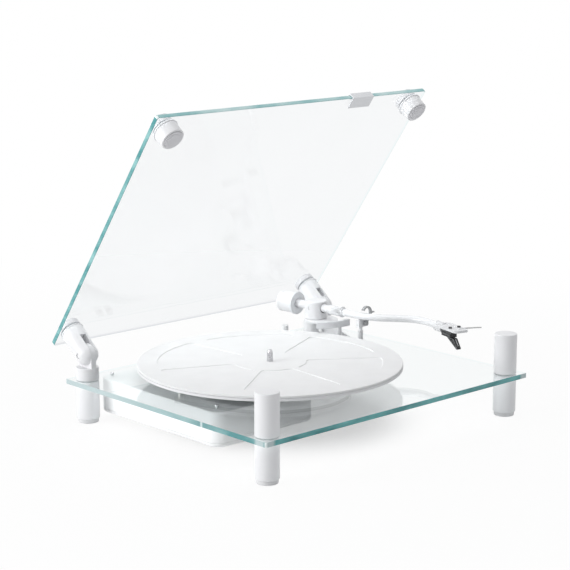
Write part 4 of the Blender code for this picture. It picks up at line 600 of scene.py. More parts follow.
def finish(
    name, colour, roughness, metallic=0.0, grain=700.0, bump=0.00002, drift=0.96, drift_scale=22.0, dust=0.0,
    rub=0.0, rub_colour=(0.9, 0.9, 0.9), coat=0.0, coat_roughness=0.1, specular=0.5, sheen=0.0, marks=0.0,
    marks_at=(0.0, 0.0, 0.0),
):
    """A solid finish: drifting tone, dust, edge rub and tool marks, and grain in its roughness and bump."""
    material, tree, shader, place = blank_material(name)
    tones = ("Tone", tuned(colour, 1.0)), ("Other Tone", tuned(colour, drift))
    tone = shared(tree, TONE, place, ("Scale", drift_scale), *tones)["Colour"]
    smooth, rough = roughness
    worn = shared(tree, GRAIN, place, ("Scale", grain), ("Smooth", smooth), ("Rough", rough))
    for amount, group, over in ((dust, DUST, DUST_COLOUR), (rub, RUB, rub_colour)):
        if amount:
            mask = shared(tree, group, place, ("Amount", amount))["Mask"]
            tone = mixed(tree, mask, tone, (*over, 1.0))
    relief = node(
        tree, "ShaderNodeBump", (("Height", worn["Height"]), ("Distance", bump), ("Strength", 0.5))
    )
    if marks:
        about = (("Vector", place), ("Location", tuple(-v for v in marks_at)))
        centred = node(tree, "ShaderNodeMapping", about).outputs[0]
        turned = shared(tree, MARKS, centred, ("Marks", marks))
        cut = (("Height", turned["Height"]), ("Distance", MARKS_DEPTH), ("Strength", 0.6))
        feed(tree, relief, (("Normal", node(tree, "ShaderNodeBump", cut).outputs["Normal"]),))
        tone = mixed(tree, turned["Share"], tone, tuned(colour, 0.8))
    feed(
        tree,
        shader,
        (
            ("Base Color", tone), ("Roughness", worn["Roughness"]), ("Normal", relief.outputs["Normal"]),
            ("Metallic", metallic), ("Coat Weight", coat), ("Coat Roughness", coat_roughness),
            ("Specular IOR Level", specular), ("Sheen Weight", sheen),
        ),
    )
    return material


def blend(tree, share, first, second, end="Material Output"):
    """The surface is FIRST, and SECOND where SHARE is 1."""
    links = (0, share), (1, first.outputs[0]), (2, second.outputs[0])
    feed(tree, tree.nodes[end], (("Surface", node(tree, "ShaderNodeMixShader", links).outputs[0]),))


def clear_where(tree, share, shader, tint):
    """The material is SHADER, and plain clear with TINT where SHARE is 1."""
    blend(tree, share, shader, node(tree, "ShaderNodeBsdfTransparent", (("Color", (*tint, 1.0)),)))


def glass(name, tint, shade, ior=1.5):
    """Clear sheet: it refracts, and it lets the lamps' light through to what lies behind."""
    material, tree, shader, place = blank_material(name)
    worn = shared(tree, GRAIN, place, ("Scale", 120.0), ("Smooth", 0.0), ("Rough", 0.012))
    tones = ("Tone", tuned(tint, 1.0)), ("Other Tone", tuned(tint, 0.985))
    tone = shared(tree, TONE, place, ("Scale", 6.0), *tones)["Colour"]
    feed(
        tree,
        shader,
        (("Base Color", tone), ("Roughness", worn["Roughness"]), ("Transmission Weight", 1.0), ("IOR", ior)),
    )
    clear_where(tree, node(tree, "ShaderNodeLightPath").outputs["Is Shadow Ray"], shader, shade)
    return material


def soft_band(tree, value, middle, half, soft):
    """1 where VALUE lies within HALF of MIDDLE, falling to 0 over SOFT beyond."""
    away = maths(tree, "ABSOLUTE", maths(tree, "SUBTRACT", value, middle))
    return ranged(tree, away, half, half + soft, 1.0, 0.0, interpolation_type="SMOOTHSTEP")


EDGE_STRETCH = (1.0, 1.0, 3.0)
# Pale teals of the painted light and the painted highlights on the sheets' edges.
PAINTED_LIGHT_TEAL, HIGHLIGHT_TEAL = (0.47, 0.57, 0.58, 1.0), (0.58, 0.69, 0.70, 1.0)
POST_BAND, HIGHLIGHT_BAND = (0.004, 0.006), (0.0005, 0.0024)


def glass_edge(
    name, light, dark, axis="X", posts=(), fade=None, highlights=(), through=(0.9, 0.96, 0.96)
):
    """Ground edge of a sheet: long blotches of teal, with painted light as paler teal beside the posts and at
    a faded end, and painted highlights as narrow pale bands.

    From inside the sheet, and to the lamps' light, it is clear with the tint THROUGH.
    """
    material, tree, shader, place = blank_material(name)
    drawn = node(tree, "ShaderNodeMapping", (("Vector", place), ("Scale", EDGE_STRETCH)))
    blotches = noise(tree, drawn.outputs[0], scale=24.0, detail=2.5)
    ramp = node(tree, "ShaderNodeValToRGB", (("Fac", blotches),))
    stops = ramp.color_ramp.elements
    stops[0].position, stops[0].color = 0.36, (*dark, 1.0)
    stops[1].position, stops[1].color = 0.66, (*light, 1.0)
    tone = ramp.outputs["Color"]
    along = node(tree, "ShaderNodeSeparateXYZ", (("Vector", place),)).outputs[axis]
    # Paler teal towards one end and beside the posts is painted light; the narrow pale bands are painted
    # highlights.
    if fade:
        tone = mixed(tree, ranged(tree, along, *fade), tone, PAINTED_LIGHT_TEAL)
    for middle in posts:
        tone = mixed(tree, soft_band(tree, along, middle, *POST_BAND), tone, PAINTED_LIGHT_TEAL)
    for middle in highlights:
        tone = mixed(tree, soft_band(tree, along, middle, *HIGHLIGHT_BAND), tone, HIGHLIGHT_TEAL)
    worn = shared(tree, GRAIN, place, ("Scale", 300.0), ("Smooth", 0.06), ("Rough", 0.16))
    relief = node(
        tree, "ShaderNodeBump", (("Height", worn["Height"]), ("Distance", 0.00003), ("Strength", 0.4))
    )
    feed(
        tree,
        shader,
        (
            ("Base Color", tone), ("Roughness", worn["Roughness"]), ("Normal", relief.outputs["Normal"]),
            ("Coat Weight", 0.3),
        ),
    )
    inside = node(tree, "ShaderNodeNewGeometry").outputs["Backfacing"]
    ray = node(tree, "ShaderNodeLightPath").outputs["Is Shadow Ray"]
    clear_where(tree, maths(tree, "MAXIMUM", inside, ray), shader, through)
    return material


# Finishes.

SPINDLE_AT = spot(PLATTER_X, PLATTER_Y)
LACQUER = finish(
    "white_lacquer_finish", (0.82, 0.82, 0.835), (0.32, 0.42), bump=0.00001, drift=0.975, coat=0.08,
    coat_roughness=0.15, dust=0.2, specular=0.3,
)
RIM_LACQUER = finish(
    "platter_lacquer", (0.78, 0.78, 0.795), (0.4, 0.5), bump=0.00001, drift=0.97, dust=0.2, specular=0.3
)
SHELL = finish("moulded_white_shell", (0.93, 0.935, 0.94), (0.38, 0.5), grain=1500.0, bump=0.00004)
MAT_FINISH = finish(
    "mat_felt", (0.8, 0.8, 0.805), (0.72, 0.9), grain=2600.0, bump=0.00012, drift=0.97, sheen=0.15,
    drift_scale=40.0, specular=0.3,
)
PAD = finish("grey_pad_rubber", (0.72, 0.715, 0.74), (0.6, 0.8), grain=1400.0, bump=0.00006, dust=0.5)
FOOT_RUBBER = finish("pale_foot_rubber", (0.74, 0.74, 0.75), (0.65, 0.85), grain=1300.0, bump=0.00007)
CAST = finish(
    "cast_aluminium_finish", (0.6, 0.6, 0.615), (0.3, 0.45), metallic=1.0, grain=1100.0, bump=0.00006,
    rub=0.5, marks=260.0, marks_at=SPINDLE_AT,
)
SUB_CAST = finish(
    "sub_platter_cast", (0.74, 0.74, 0.76), (0.45, 0.6), metallic=0.1, grain=1100.0, bump=0.00006,
    marks=260.0, marks_at=SPINDLE_AT,
)
STEEL = finish(
    "bright_steel_finish", (0.72, 0.73, 0.75), (0.08, 0.2), metallic=1.0, grain=900.0, bump=0.00001, rub=0.4
)
SPINDLE_STEEL = finish(
    "spindle_steel", (0.62, 0.62, 0.64), (0.2, 0.34), metallic=1.0, bump=0.00001, marks=1100.0,
    marks_at=SPINDLE_AT,
)
PULLEY_NICKEL = finish(
    "pulley_nickel", (0.70, 0.69, 0.66), (0.2, 0.34), metallic=1.0, marks=900.0,
    marks_at=spot(MOTOR_X, MOTOR_Y), rub=0.4,
)
MOTOR_CAN = finish(
    "motor_can_zinc", (0.55, 0.56, 0.57), (0.28, 0.46), metallic=1.0, grain=380.0, bump=0.00003
)
BLACK = finish(
    "black_moulding", (0.018, 0.018, 0.02), (0.28, 0.42), grain=1800.0, bump=0.00003, drift=0.8, dust=0.15
)
SCREW_BLACK = finish(
    "blackened_screw", (0.03, 0.03, 0.032), (0.25, 0.4), metallic=0.7, rub=0.5, rub_colour=(0.25, 0.25, 0.26)
)
DARK_GREY = finish(
    "dark_grey_moulding", (0.4, 0.405, 0.415), (0.35, 0.5), grain=1500.0, bump=0.00003, drift=0.9, dust=0.2
)
LIFT_GREY = finish(
    "lift_bar_grey", (0.78, 0.79, 0.81), (0.45, 0.6), grain=1700.0, bump=0.00005, drift=0.92, dust=0.2
)
DIAL_GREY = finish(
    "dial_blue_grey", (0.84, 0.855, 0.88), (0.3, 0.45), grain=1200.0, bump=0.00003, rub=0.4
)
ARM_WHITE = finish(
    "arm_tube_lacquer", (0.82, 0.825, 0.84), (0.16, 0.26), bump=0.000008, drift=0.98, coat=0.5,
    coat_roughness=0.06, dust=0.15,
)
BELT = finish("belt_rubber_finish", (0.03, 0.03, 0.031), (0.5, 0.7), grain=1500.0, bump=0.00004)
BOARD = finish(
    "board_laminate_finish", (0.03, 0.15, 0.07), (0.35, 0.5), grain=900.0, bump=0.00003, drift=0.8
)
GRIP = finish(
    "grip_satin_aluminium", (0.6, 0.61, 0.63), (0.3, 0.42), metallic=0.9, grain=900.0, bump=0.00003, rub=0.3
)
# Grey of the painted highlights along the cartridge's and stylus's edges.
EDGE_HIGHLIGHT_GREY = finish(
    "cartridge_painted_edge_highlight", (0.42, 0.43, 0.45), (0.3, 0.45), grain=1800.0, bump=0.00001, drift=0.9
)
FINGER_GREY = finish(
    "finger_blade_satin", (0.5, 0.5, 0.5), (0.25, 0.4), metallic=0.3, grain=1200.0, bump=0.00001, rub=0.4
)
# Darker copy of the white lacquer for the headshell: painted shade.
HEAD_SHADED_WHITE = finish(
    "headshell_satin_painted_shade", (0.76, 0.765, 0.78), (0.3, 0.42), bump=0.00001, drift=0.98, coat=0.1, dust=0.15,
    specular=0.4,
)
REST_GREY = finish(
    "rest_post_lacquer", (0.80, 0.805, 0.82), (0.25, 0.36), bump=0.00001, coat=0.2, dust=0.2
)
BASE_CLEAR = glass("base_sheet_clear", (0.935, 0.96, 0.963), (0.95, 0.975, 0.975))
LID_CLEAR = glass("lid_sheet_clear", (0.935, 0.946, 0.954), (0.93, 0.95, 0.95), ior=1.35)
# Places of the painted light on the base sheet's edges, near its corners and towards its rear, and of a
# painted highlight on its side edges.
CORNER_INSET = 0.0105
SIDE_PALE = tuple(
    spot(0.0, y)[1] for y in (CORNER_INSET - PLATE_DEPTH / 2, PLATE_DEPTH / 2 - CORNER_INSET)
)
FRONT_PALE = (CORNER_INSET / 2 - PLATE_WIDTH / 2, PLATE_WIDTH / 2 - CORNER_INSET / 2)
SIDE_FADE, SIDE_HIGHLIGHTS = (spot(0.0, -0.12)[1], spot(0.0, 0.10)[1]), (spot(0.0, -0.0747)[1],)
BASE_FRONT_EDGE = glass_edge("base_edge_front", (0.11, 0.43, 0.43), (0.01, 0.19, 0.2), posts=FRONT_PALE)
BASE_SIDE_EDGE = glass_edge(
    "base_edge_side", (0.22, 0.42, 0.43), (0.07, 0.26, 0.27), axis="Y", posts=SIDE_PALE, fade=SIDE_FADE,
    highlights=SIDE_HIGHLIGHTS,
)
LID_EDGE = glass_edge("lid_edge_teal", (0.25, 0.52, 0.52), (0.06, 0.30, 0.31))
LID_PALE_EDGE = glass_edge(
    "lid_edge_pale", (0.60, 0.80, 0.80), (0.25, 0.55, 0.56), through=(0.8, 0.81, 0.83)
)
CORNER_FACET = finish(
    "glass_corner_facet", (0.82, 0.9, 0.9), (0.05, 0.14), bump=0.00001, drift=0.9, drift_scale=300.0, coat=0.5
)


# Repeats and paths, made with geometry nodes.

COUNT = "NodeSocketInt"
HERE = ("Geometry", "NodeSocketGeometry")


def growing(name, inputs):
    return effect(name, (HERE, *inputs), (HERE,), "GeometryNodeTree")


def close_tree(tree, out, shape, material):
    """Each tree ends alike: what it made becomes real and takes its material."""
    whole = node(tree, "GeometryNodeRealizeInstances", (("Geometry", shape),)).outputs[0]
    painted = node(tree, "GeometryNodeSetMaterial", (("Geometry", whole), ("Material", material)))
    feed(tree, out, ((0, painted.outputs[0]),))
    return tree


def grown(points, edges, tree, **sizes):
    """A plain mesh of what TREE makes of some points, with the tree's named inputs set."""
    mesh = bpy.data.meshes.new("guide")
    mesh.from_pydata([tuple(p) for p in points], edges, [])
    guide = linked("guide", mesh)
    step = guide.modifiers.new("grow", "NODES")
    step.node_group = tree
    for item in tree.interface.items_tree:
        if item.in_out == "INPUT" and item.name in sizes:
            step[item.identifier] = sizes[item.name]
    return settle(guide)


def sweep_tree(material):
    """Round bar along a path. The points carry no width of their own."""
    tree, into, out = growing("bar_along_path", (("Radius", FLOAT, 0.004), ("Sides", COUNT, 32)))
    path = node(tree, "GeometryNodeMeshToCurve", (("Mesh", into.outputs["Geometry"]),)).outputs[0]
    level = node(tree, "GeometryNodeSetCurveNormal", (("Curve", path),), mode="Z_UP").outputs[0]
    sizes = ("Resolution", into.outputs["Sides"]), ("Radius", into.outputs["Radius"])
    ring = node(tree, "GeometryNodeCurvePrimitiveCircle", sizes).outputs[0]
    links = ("Curve", level), ("Profile Curve", ring), ("Fill Caps", True)
    return close_tree(tree, out, node(tree, "GeometryNodeCurveToMesh", links).outputs[0], material)


def ring_tree(material):
    """Small blocks in a ring about Z, each with its X side pointing outwards."""
    tree, into, out = growing(
        "blocks_in_ring",
        (("Count", COUNT, 20), ("Radius", FLOAT, 0.015), ("Size", VECTOR, (0.001, 0.001, 0.001))),
    )
    sizes = ("Vertices", into.outputs["Count"]), ("Radius", into.outputs["Radius"])
    ring = node(tree, "GeometryNodeMeshCircle", sizes).outputs["Mesh"]
    block = node(tree, "GeometryNodeMeshCube", (("Size", into.outputs["Size"]),)).outputs["Mesh"]
    here = node(tree, "GeometryNodeInputPosition").outputs[0]
    turn = node(tree, "FunctionNodeAlignRotationToVector", (("Vector", here),), axis="X").outputs[0]
    links = ("Points", ring), ("Instance", block), ("Rotation", turn)
    return close_tree(tree, out, node(tree, "GeometryNodeInstanceOnPoints", links).outputs[0], material)


def screw_tree(material):
    """Slotted cheese-head screw on each point."""
    tree, into, out = growing(
        "slotted_screws",
        (
            ("Radius", FLOAT, 0.0022), ("Height", FLOAT, 0.0013), ("Slot", VECTOR, (0.005, 0.0005, 0.0012)),
            ("Slot Rise", VECTOR, (0.0, 0.0, 0.0007)), ("Turn", FLOAT, 0.7),
        ),
    )
    sizes = ("Vertices", 40), ("Radius", into.outputs["Radius"]), ("Depth", into.outputs["Height"])
    head = node(tree, "GeometryNodeMeshCylinder", sizes).outputs["Mesh"]
    slot = node(tree, "GeometryNodeMeshCube", (("Size", into.outputs["Slot"]),)).outputs["Mesh"]
    rise = ("Geometry", slot), ("Translation", into.outputs["Slot Rise"])
    raised = node(tree, "GeometryNodeTransform", rise).outputs[0]
    both = ("Mesh 1", head), ("Mesh 2", raised)
    cut = node(tree, "GeometryNodeMeshBoolean", both, operation="DIFFERENCE").outputs["Mesh"]
    spin = node(tree, "ShaderNodeCombineXYZ", (("Z", into.outputs["Turn"]),)).outputs[0]
    links = ("Points", into.outputs["Geometry"]), ("Instance", cut), ("Rotation", spin)
    return close_tree(tree, out, node(tree, "GeometryNodeInstanceOnPoints", links).outputs[0], material)


# Plate, posts and feet.

SIDES = (("left", -POST_X), ("right", POST_X))

# Slots of a sheet's finishes, and how its faces are told apart.
CLEAR, LONG_EDGE, SIDE_EDGE, FACET = 0, 1, 2, 3
NEAR_EDGE, FLAT, LEANING = 0.0015, 0.95, 0.3
GLASS_SHARP, TONGUE_STEPS, BORE_HALF = 12.0, 40, 0.02


def sheet_finish(x0, x1, y0, y1):
    """Which finish a face takes: clear, front and back edge, side edge, or corner and hole wall."""

    def chosen(face):
        middle = face.calc_center_median()
        if abs(face.normal.z) > FLAT:
            return CLEAR
        if min(abs(face.normal.x), abs(face.normal.y)) > LEANING:
            return FACET
        if min(abs(middle.y - y0), abs(middle.y - y1)) < NEAR_EDGE:
            return LONG_EDGE
        if min(abs(middle.x - x0), abs(middle.x - x1)) < NEAR_EDGE:
            return SIDE_EDGE
        return FACET

    return chosen


def glass_sheet(y0, y1, low, high, holes):
    half = PLATE_WIDTH / 2
    blank = prism(rounded(-half, half, y0, y1, GLASS_CORNER, 6), low, high)
    bmesh.ops.bevel(
        blank,
        geom=[e for e in blank.edges if abs(e.verts[0].co.z - e.verts[1].co.z) < SAME_LEVEL],
        offset=GLASS_ARRIS,
        segments=2,
        profile=0.5,
        affect="EDGES",
    )
    cuts = [drill(radius, low - OVERRUN, high + OVERRUN, x, y) for radius, x, y in holes]
    return carved(blank, cuts=[together(*cuts)])


def arm_spot(s, v):
    flat = ARM_FLOOR @ Vector((s, v, 0.0))
    return flat.x, flat.y - CENTRING


def make_plate():
    half_x, half_y = PLATE_WIDTH / 2, PLATE_DEPTH / 2
    holes = [(STUD_RADIUS + GAP, x, y) for x in (-POST_X, POST_X) for y in (-POST_Y, POST_Y)]
    holes += [
        (BEARING_RADIUS + GAP, PLATTER_X, PLATTER_Y),
        (PULLEY_RADIUS, MOTOR_X, MOTOR_Y),
        (KNOB_STEM + GAP, KNOB_X, KNOB_Y),
        (COLUMN_STEM + GAP, *arm_spot(COLUMN_S, 0.0)),
        (REST_STEM + GAP, *arm_spot(REST_S, REST_V)),
    ]
    holes += [(STUD_STEM + GAP, STUD_X, y) for y in STUD_YS]
    sheet = glass_sheet(-half_y, half_y, PLATE_LOW, PLATE_TOP, holes)
    looks = (BASE_CLEAR, BASE_FRONT_EDGE, BASE_SIDE_EDGE, CORNER_FACET)
    piece(
        "plate_glass", sheet, looks, "base", ("base_glass",), sharp=GLASS_SHARP,
        faces=sheet_finish(-half_x, half_x, -half_y, half_y),
    )


def make_posts():
    low, top = PLATE_TOP + GAP, PLATE_TOP + POST_HEIGHT
    stud_top, hole = PLATE_TOP + STUD_RISE, STUD_RADIUS + GAP
    post = (
        (0.0, stud_top + GAP), (hole, stud_top + GAP), (hole, low), (POST_RADIUS, low, EDGE),
        (POST_RADIUS, top, POST_EDGE), (0.0, top),
    )
    leg_top, spigot_top = PLATE_LOW - GAP, FOOT_HEIGHT + SPIGOT_HEIGHT
    socket, socket_top = SPIGOT_RADIUS + GAP, spigot_top + GAP
    leg = (
        (0.0, socket_top), (socket, socket_top), (socket, FOOT_HEIGHT), (POST_RADIUS, FOOT_HEIGHT, LEG_EDGE),
        (POST_RADIUS, leg_top, EDGE), (STUD_RADIUS, leg_top), (STUD_RADIUS, stud_top), (0.0, stud_top),
    )
    foot_top = FOOT_HEIGHT - GAP
    foot = (
        (0.0, 0.0), (FOOT_RADIUS, 0.0, FOOT_EDGE), (FOOT_RADIUS, foot_top, EDGE), (SPIGOT_RADIUS, foot_top),
        (SPIGOT_RADIUS, spigot_top), (0.0, spigot_top),
    )
    for side, x in SIDES:
        for end, y in (("front", -POST_Y), ("rear", POST_Y)):
            name = f"{end}_{side}"
            piece(
                f"leg_turned_{name}", turned(leg, x, y), LACQUER, "base", (f"leg_{name}",)
            )
            piece(
                f"foot_moulded_{name}", turned(foot, x, y, MIDDLE), FOOT_RUBBER, "base",
                (f"foot_{name}",),
            )
        piece(
            f"post_turned_front_{side}", turned(post, x, -POST_Y), LACQUER, "base",
            (f"post_front_{side}",),
        )
        make_hinge_post(side, x)


def make_hinge_post(side, x):
    low, top = PLATE_TOP + GAP, PLATE_TOP + STUB_HEIGHT
    bore, hole = PLATE_TOP + STUD_RISE + GAP, STUD_RADIUS + GAP
    stub = (
        (0.0, bore), (hole, bore), (hole, low), (POST_RADIUS, low, EDGE), (POST_RADIUS, top, ROUND_EDGE),
        (0.0, top),
    )
    outline = [(-TONGUE_RADIUS, top - OVERRUN), (TONGUE_RADIUS, top - OVERRUN)]
    outline += arc(TONGUE_RADIUS, 0.0, TURN / 2, TONGUE_STEPS, 0.0, PIVOT_LEVEL)
    tongue = prism(outline, -TONGUE_THICK / 2, TONGUE_THICK / 2, "X")
    pin_hole = prism(circle(PIN_RADIUS + GAP, FINE, 0.0, PIVOT_LEVEL), -BORE_HALF, BORE_HALF, "X")
    body = carved(turned(stub), joins=[tongue], cuts=[pin_hole], bevel=EDGE, segments=1)
    piece(
        f"hinge_post_turned_{side}", moved(body, x, POST_Y), LACQUER, "base",
        (f"hinge_post_{side}",),
    )


# Lid.


def make_lid():
    half_x = PLATE_WIDTH / 2
    bumper_y = -2 * POST_Y
    holes = [(STUD_RADIUS + GAP, x, y) for x in (-POST_X, POST_X) for y in (bumper_y, -ARM_LEAN)]
    piece(
        "lid_sheet", glass_sheet(LID_FRONT, LID_BACK, LID_LOW, LID_TOP, holes),
        (LID_CLEAR, LID_PALE_EDGE, LID_EDGE, CORNER_FACET), "lid", ("lid_glass",), place=LID,
        sharp=GLASS_SHARP, faces=sheet_finish(-half_x, half_x, LID_FRONT, LID_BACK),
    )
    shank, low = LID_LOW - CAP_SHANK, LID_TOP + GAP
    cap = (
        (0.0, shank), (STUD_RADIUS, shank), (STUD_RADIUS, low), (CAP_RADIUS, low, EDGE),
        (CAP_RADIUS, low + CAP_HEIGHT, POST_EDGE), (0.0, low + CAP_HEIGHT),
    )
    for side, x in SIDES:
        for end, y in (("front", bumper_y), ("rear", -ARM_LEAN)):
            piece(
                f"cap_turned_{end}_{side}", turned(cap, x, y), LACQUER, "lid",
                (f"lid_cap_{end}_{side}",), place=LID,
            )
        make_bumper(side, x, bumper_y)
        make_hinge_arm(side, x)
    make_grip()


def make_bumper(side, x, y):
    under, hole = LID_LOW - GAP, STUD_RADIUS + GAP
    ledge, bore = under - FLANGE_THICK, under - CAP_SHANK - GAP
    pad_low = POST_HEIGHT - PIVOT_RISE + GAP
    body_low, pad_top = pad_low + BUMPER_LIP, pad_low + PAD_THICK
    recess = PAD_RADIUS + GAP
    body = (
        (0.0, pad_top + GAP), (recess, pad_top + GAP), (recess, body_low), (BUMPER_END, body_low, FOOT_EDGE),
        (BUMPER_NECK, ledge, EDGE), (BUMPER_FLANGE, ledge, EDGE), (BUMPER_FLANGE, under, EDGE),
        (hole, under), (hole, bore), (0.0, bore),
    )
    step = pad_low + PAD_STEP
    pad = (
        (0.0, pad_low), (PAD_STEP_RADIUS, pad_low, FINE_EDGE), (PAD_STEP_RADIUS, step, FINE_EDGE),
        (PAD_RADIUS, step, EDGE), (PAD_RADIUS, pad_top), (0.0, pad_top),
    )
    piece(
        f"bumper_turned_{side}", turned(body, x, y), LACQUER, "lid", (f"bumper_{side}",),
        place=LID,
    )
    piece(
        f"bumper_soft_pad_{side}", turned(pad, x, y), PAD, "lid", (f"bumper_pad_{side}",),
        place=LID,
    )


def make_hinge_arm(side, x):
    """Ball round the hinge pin that grows into a neck and a flange under the glass."""
    under = LID_LOW - GAP
    ledge = under - FLANGE_THICK
    layers = []
    for step in range(BALL_STEPS + 1):
        a = math.radians(BALL_FROM + BALL_SPAN * step / BALL_STEPS)
        layers.append((circle(BALL_RADIUS * math.cos(a), ROUND), BALL_RADIUS * math.sin(a)))
    lean = -ARM_LEAN * NECK_RISE / ledge
    layers.append((circle(ARM_NECK_RADIUS, ROUND, 0.0, lean), NECK_RISE))
    for radius, level in (
        (ARM_TOP_RADIUS, ledge),
        (FLANGE_RADIUS - FINE_EDGE, ledge),
        (FLANGE_RADIUS, ledge + FINE_EDGE),
        (FLANGE_RADIUS, under - FINE_EDGE),
        (FLANGE_RADIUS - FINE_EDGE, under),
    ):
        layers.append((circle(radius, ROUND, 0.0, -ARM_LEAN), level))
    half, wide = TONGUE_THICK / 2 + GAP, 2 * POST_RADIUS
    slot = prism([(-wide, -wide), (wide, -wide), (wide, SLOT_RISE), (-wide, SLOT_RISE)], -half, half, "X")
    bore = prism(circle(PIN_RADIUS + GAP, FINE), -wide, wide, "X")
    shank = drill(STUD_RADIUS + GAP, under - CAP_SHANK, under + SHANK_OVERRUN, 0.0, -ARM_LEAN)
    body = carved(stack(layers), cuts=[slot, bore, shank], bevel=EDGE, angle=50.0)
    piece(
        f"hinge_arm_turned_{side}", moved(body, x), LACQUER, "lid", (f"hinge_arm_{side}",),
        place=LID,
    )


def make_grip():
    inner_top, outer_low, web = LID_LOW - GAP, LID_TOP + GAP, LID_FRONT - GAP
    inner_low, outer_top = inner_top - GRIP_SHEET, outer_low + GRIP_SHEET - HAIR
    front = web - GRIP_SHEET + HAIR
    inner_end, outer_end = LID_FRONT + GRIP_INNER, LID_FRONT + GRIP_OUTER
    outline = (
        (front, inner_low), (inner_end, inner_low), (inner_end, inner_top), (web, inner_top),
        (web, outer_low), (outer_end, outer_low), (outer_end, outer_top), (front, outer_top),
    )
    half = GRIP_WIDTH / 2
    folded = prism(outline, GRIP_MIDDLE - half, GRIP_MIDDLE + half, "X")
    body = carved(folded, bevel=EDGE, segments=3)
    piece("grip_folded", body, GRIP, "lid", ("lid_grip",), place=LID)


# Housing.


def shrunk(amount, steps=14):
    return rounded(
        HOUSE_X0 + amount, HOUSE_X1 - amount, HOUSE_Y0 + amount, HOUSE_Y1 - amount,
        HOUSE_CORNER - amount, steps,
    )


def make_housing():
    top, split = PLATE_LOW - GAP, HOUSE_SPLIT + GAP
    ceiling = top - HOUSE_ROOF
    layers = [(shrunk(FINE_EDGE), split), (shrunk(0.0), split + FINE_EDGE)]
    layers += [
        (shrunk(HOUSE_EDGE * (1 - math.cos(a))), top - HOUSE_EDGE * (1 - math.sin(a))) for a in quarter(6)
    ]
    inside = prism(shrunk(HOUSE_WALL), split - OVERRUN, ceiling)
    holes = [(BEARING_RADIUS + GAP, PLATTER_X, PLATTER_Y), (PULLEY_RADIUS, MOTOR_X, MOTOR_Y)]
    holes += [(STUD_STEM + GAP, STUD_X, y) for y in STUD_YS]
    openings = [drill(radius, ceiling - OVERRUN, top + OVERRUN, x, y, MIDDLE) for radius, x, y in holes]
    openings += [
        prism(circle(radius, FINE, x, SOCKET_LEVEL), HOUSE_Y1 - SOCKET_REACH, HOUSE_Y1 + SOCKET_REACH, "Y")
        for x, radius in SOCKET_HOLES
    ]
    body = carved(stack(layers), cuts=[inside, together(*openings)])
    piece("housing_moulded", body, SHELL, "base", ("housing_shell",))
    layers = [
        (shrunk(HOUSE_FILLET * (1 - math.sin(a))), HOUSE_LOW + HOUSE_FILLET * (1 - math.cos(a)))
        for a in quarter(8)
    ]
    layers += [(shrunk(0.0), HOUSE_SPLIT - FINE_EDGE), (shrunk(FINE_EDGE), HOUSE_SPLIT)]
    lip = prism(shrunk(HOUSE_WALL + GAP), HOUSE_SPLIT - OVERRUN, HOUSE_SPLIT + LIP_RISE)
    pocket = prism(shrunk(2 * HOUSE_WALL + GAP), HOUSE_LOW + HOUSE_WALL, HOUSE_SPLIT + POCKET_RISE)
    body = carved(stack(layers), joins=[lip], cuts=[pocket])
    piece("housing_tray", body, SHELL, "base", ("housing_cover",))
    low, deep = PLATE_TOP + GAP, ceiling - STUD_DEPTH
    dome = [(STUD_HEAD * math.cos(a), low + STUD_DOME * math.sin(a)) for a in quarter(12)[:-1]]
    profile = [(0.0, deep), (STUD_STEM, deep), (STUD_STEM, low), *dome, (0.0, low + STUD_DOME)]
    for end, y in zip(("front", "rear"), STUD_YS):
        piece(
            f"bright_stud_{end}", moved(lathe(profile, MIDDLE), STUD_X, y), STEEL, "base",
            (f"housing_stud_{end}",),
        )


# Platter and its drive.

WEDGE_CORNER_STEPS, WEDGE_OUTER_STEPS, WEDGE_INNER_STEPS, MAT_SHARP = 8, 22, 8, 5.0


def wedge(middle, grow):
    """Ring sector with round corners about the direction MIDDLE, its outline pushed out by GROW."""
    corner = WEDGE_CORNER + grow
    points = []
    for radius, sign in ((WEDGE_OUTER + grow, 1.0), (WEDGE_INNER - grow, -1.0)):
        centre = radius - sign * corner
        reach = WEDGE_SPAN / 2 - math.asin((corner - grow) / centre)
        for side in (-sign, sign):
            a = middle + side * reach
            outward = a if sign > 0 else a + TURN / 2
            start = outward - QUARTER if side * sign < 0 else outward
            at = centre * math.cos(a), centre * math.sin(a)
            points += arc(corner, start, start + QUARTER, WEDGE_CORNER_STEPS, *at)
            if side * sign < 0:
                steps = WEDGE_OUTER_STEPS if sign > 0 else WEDGE_INNER_STEPS
                points += arc(radius, a, middle - side * reach, steps)[1:-1]
    return points


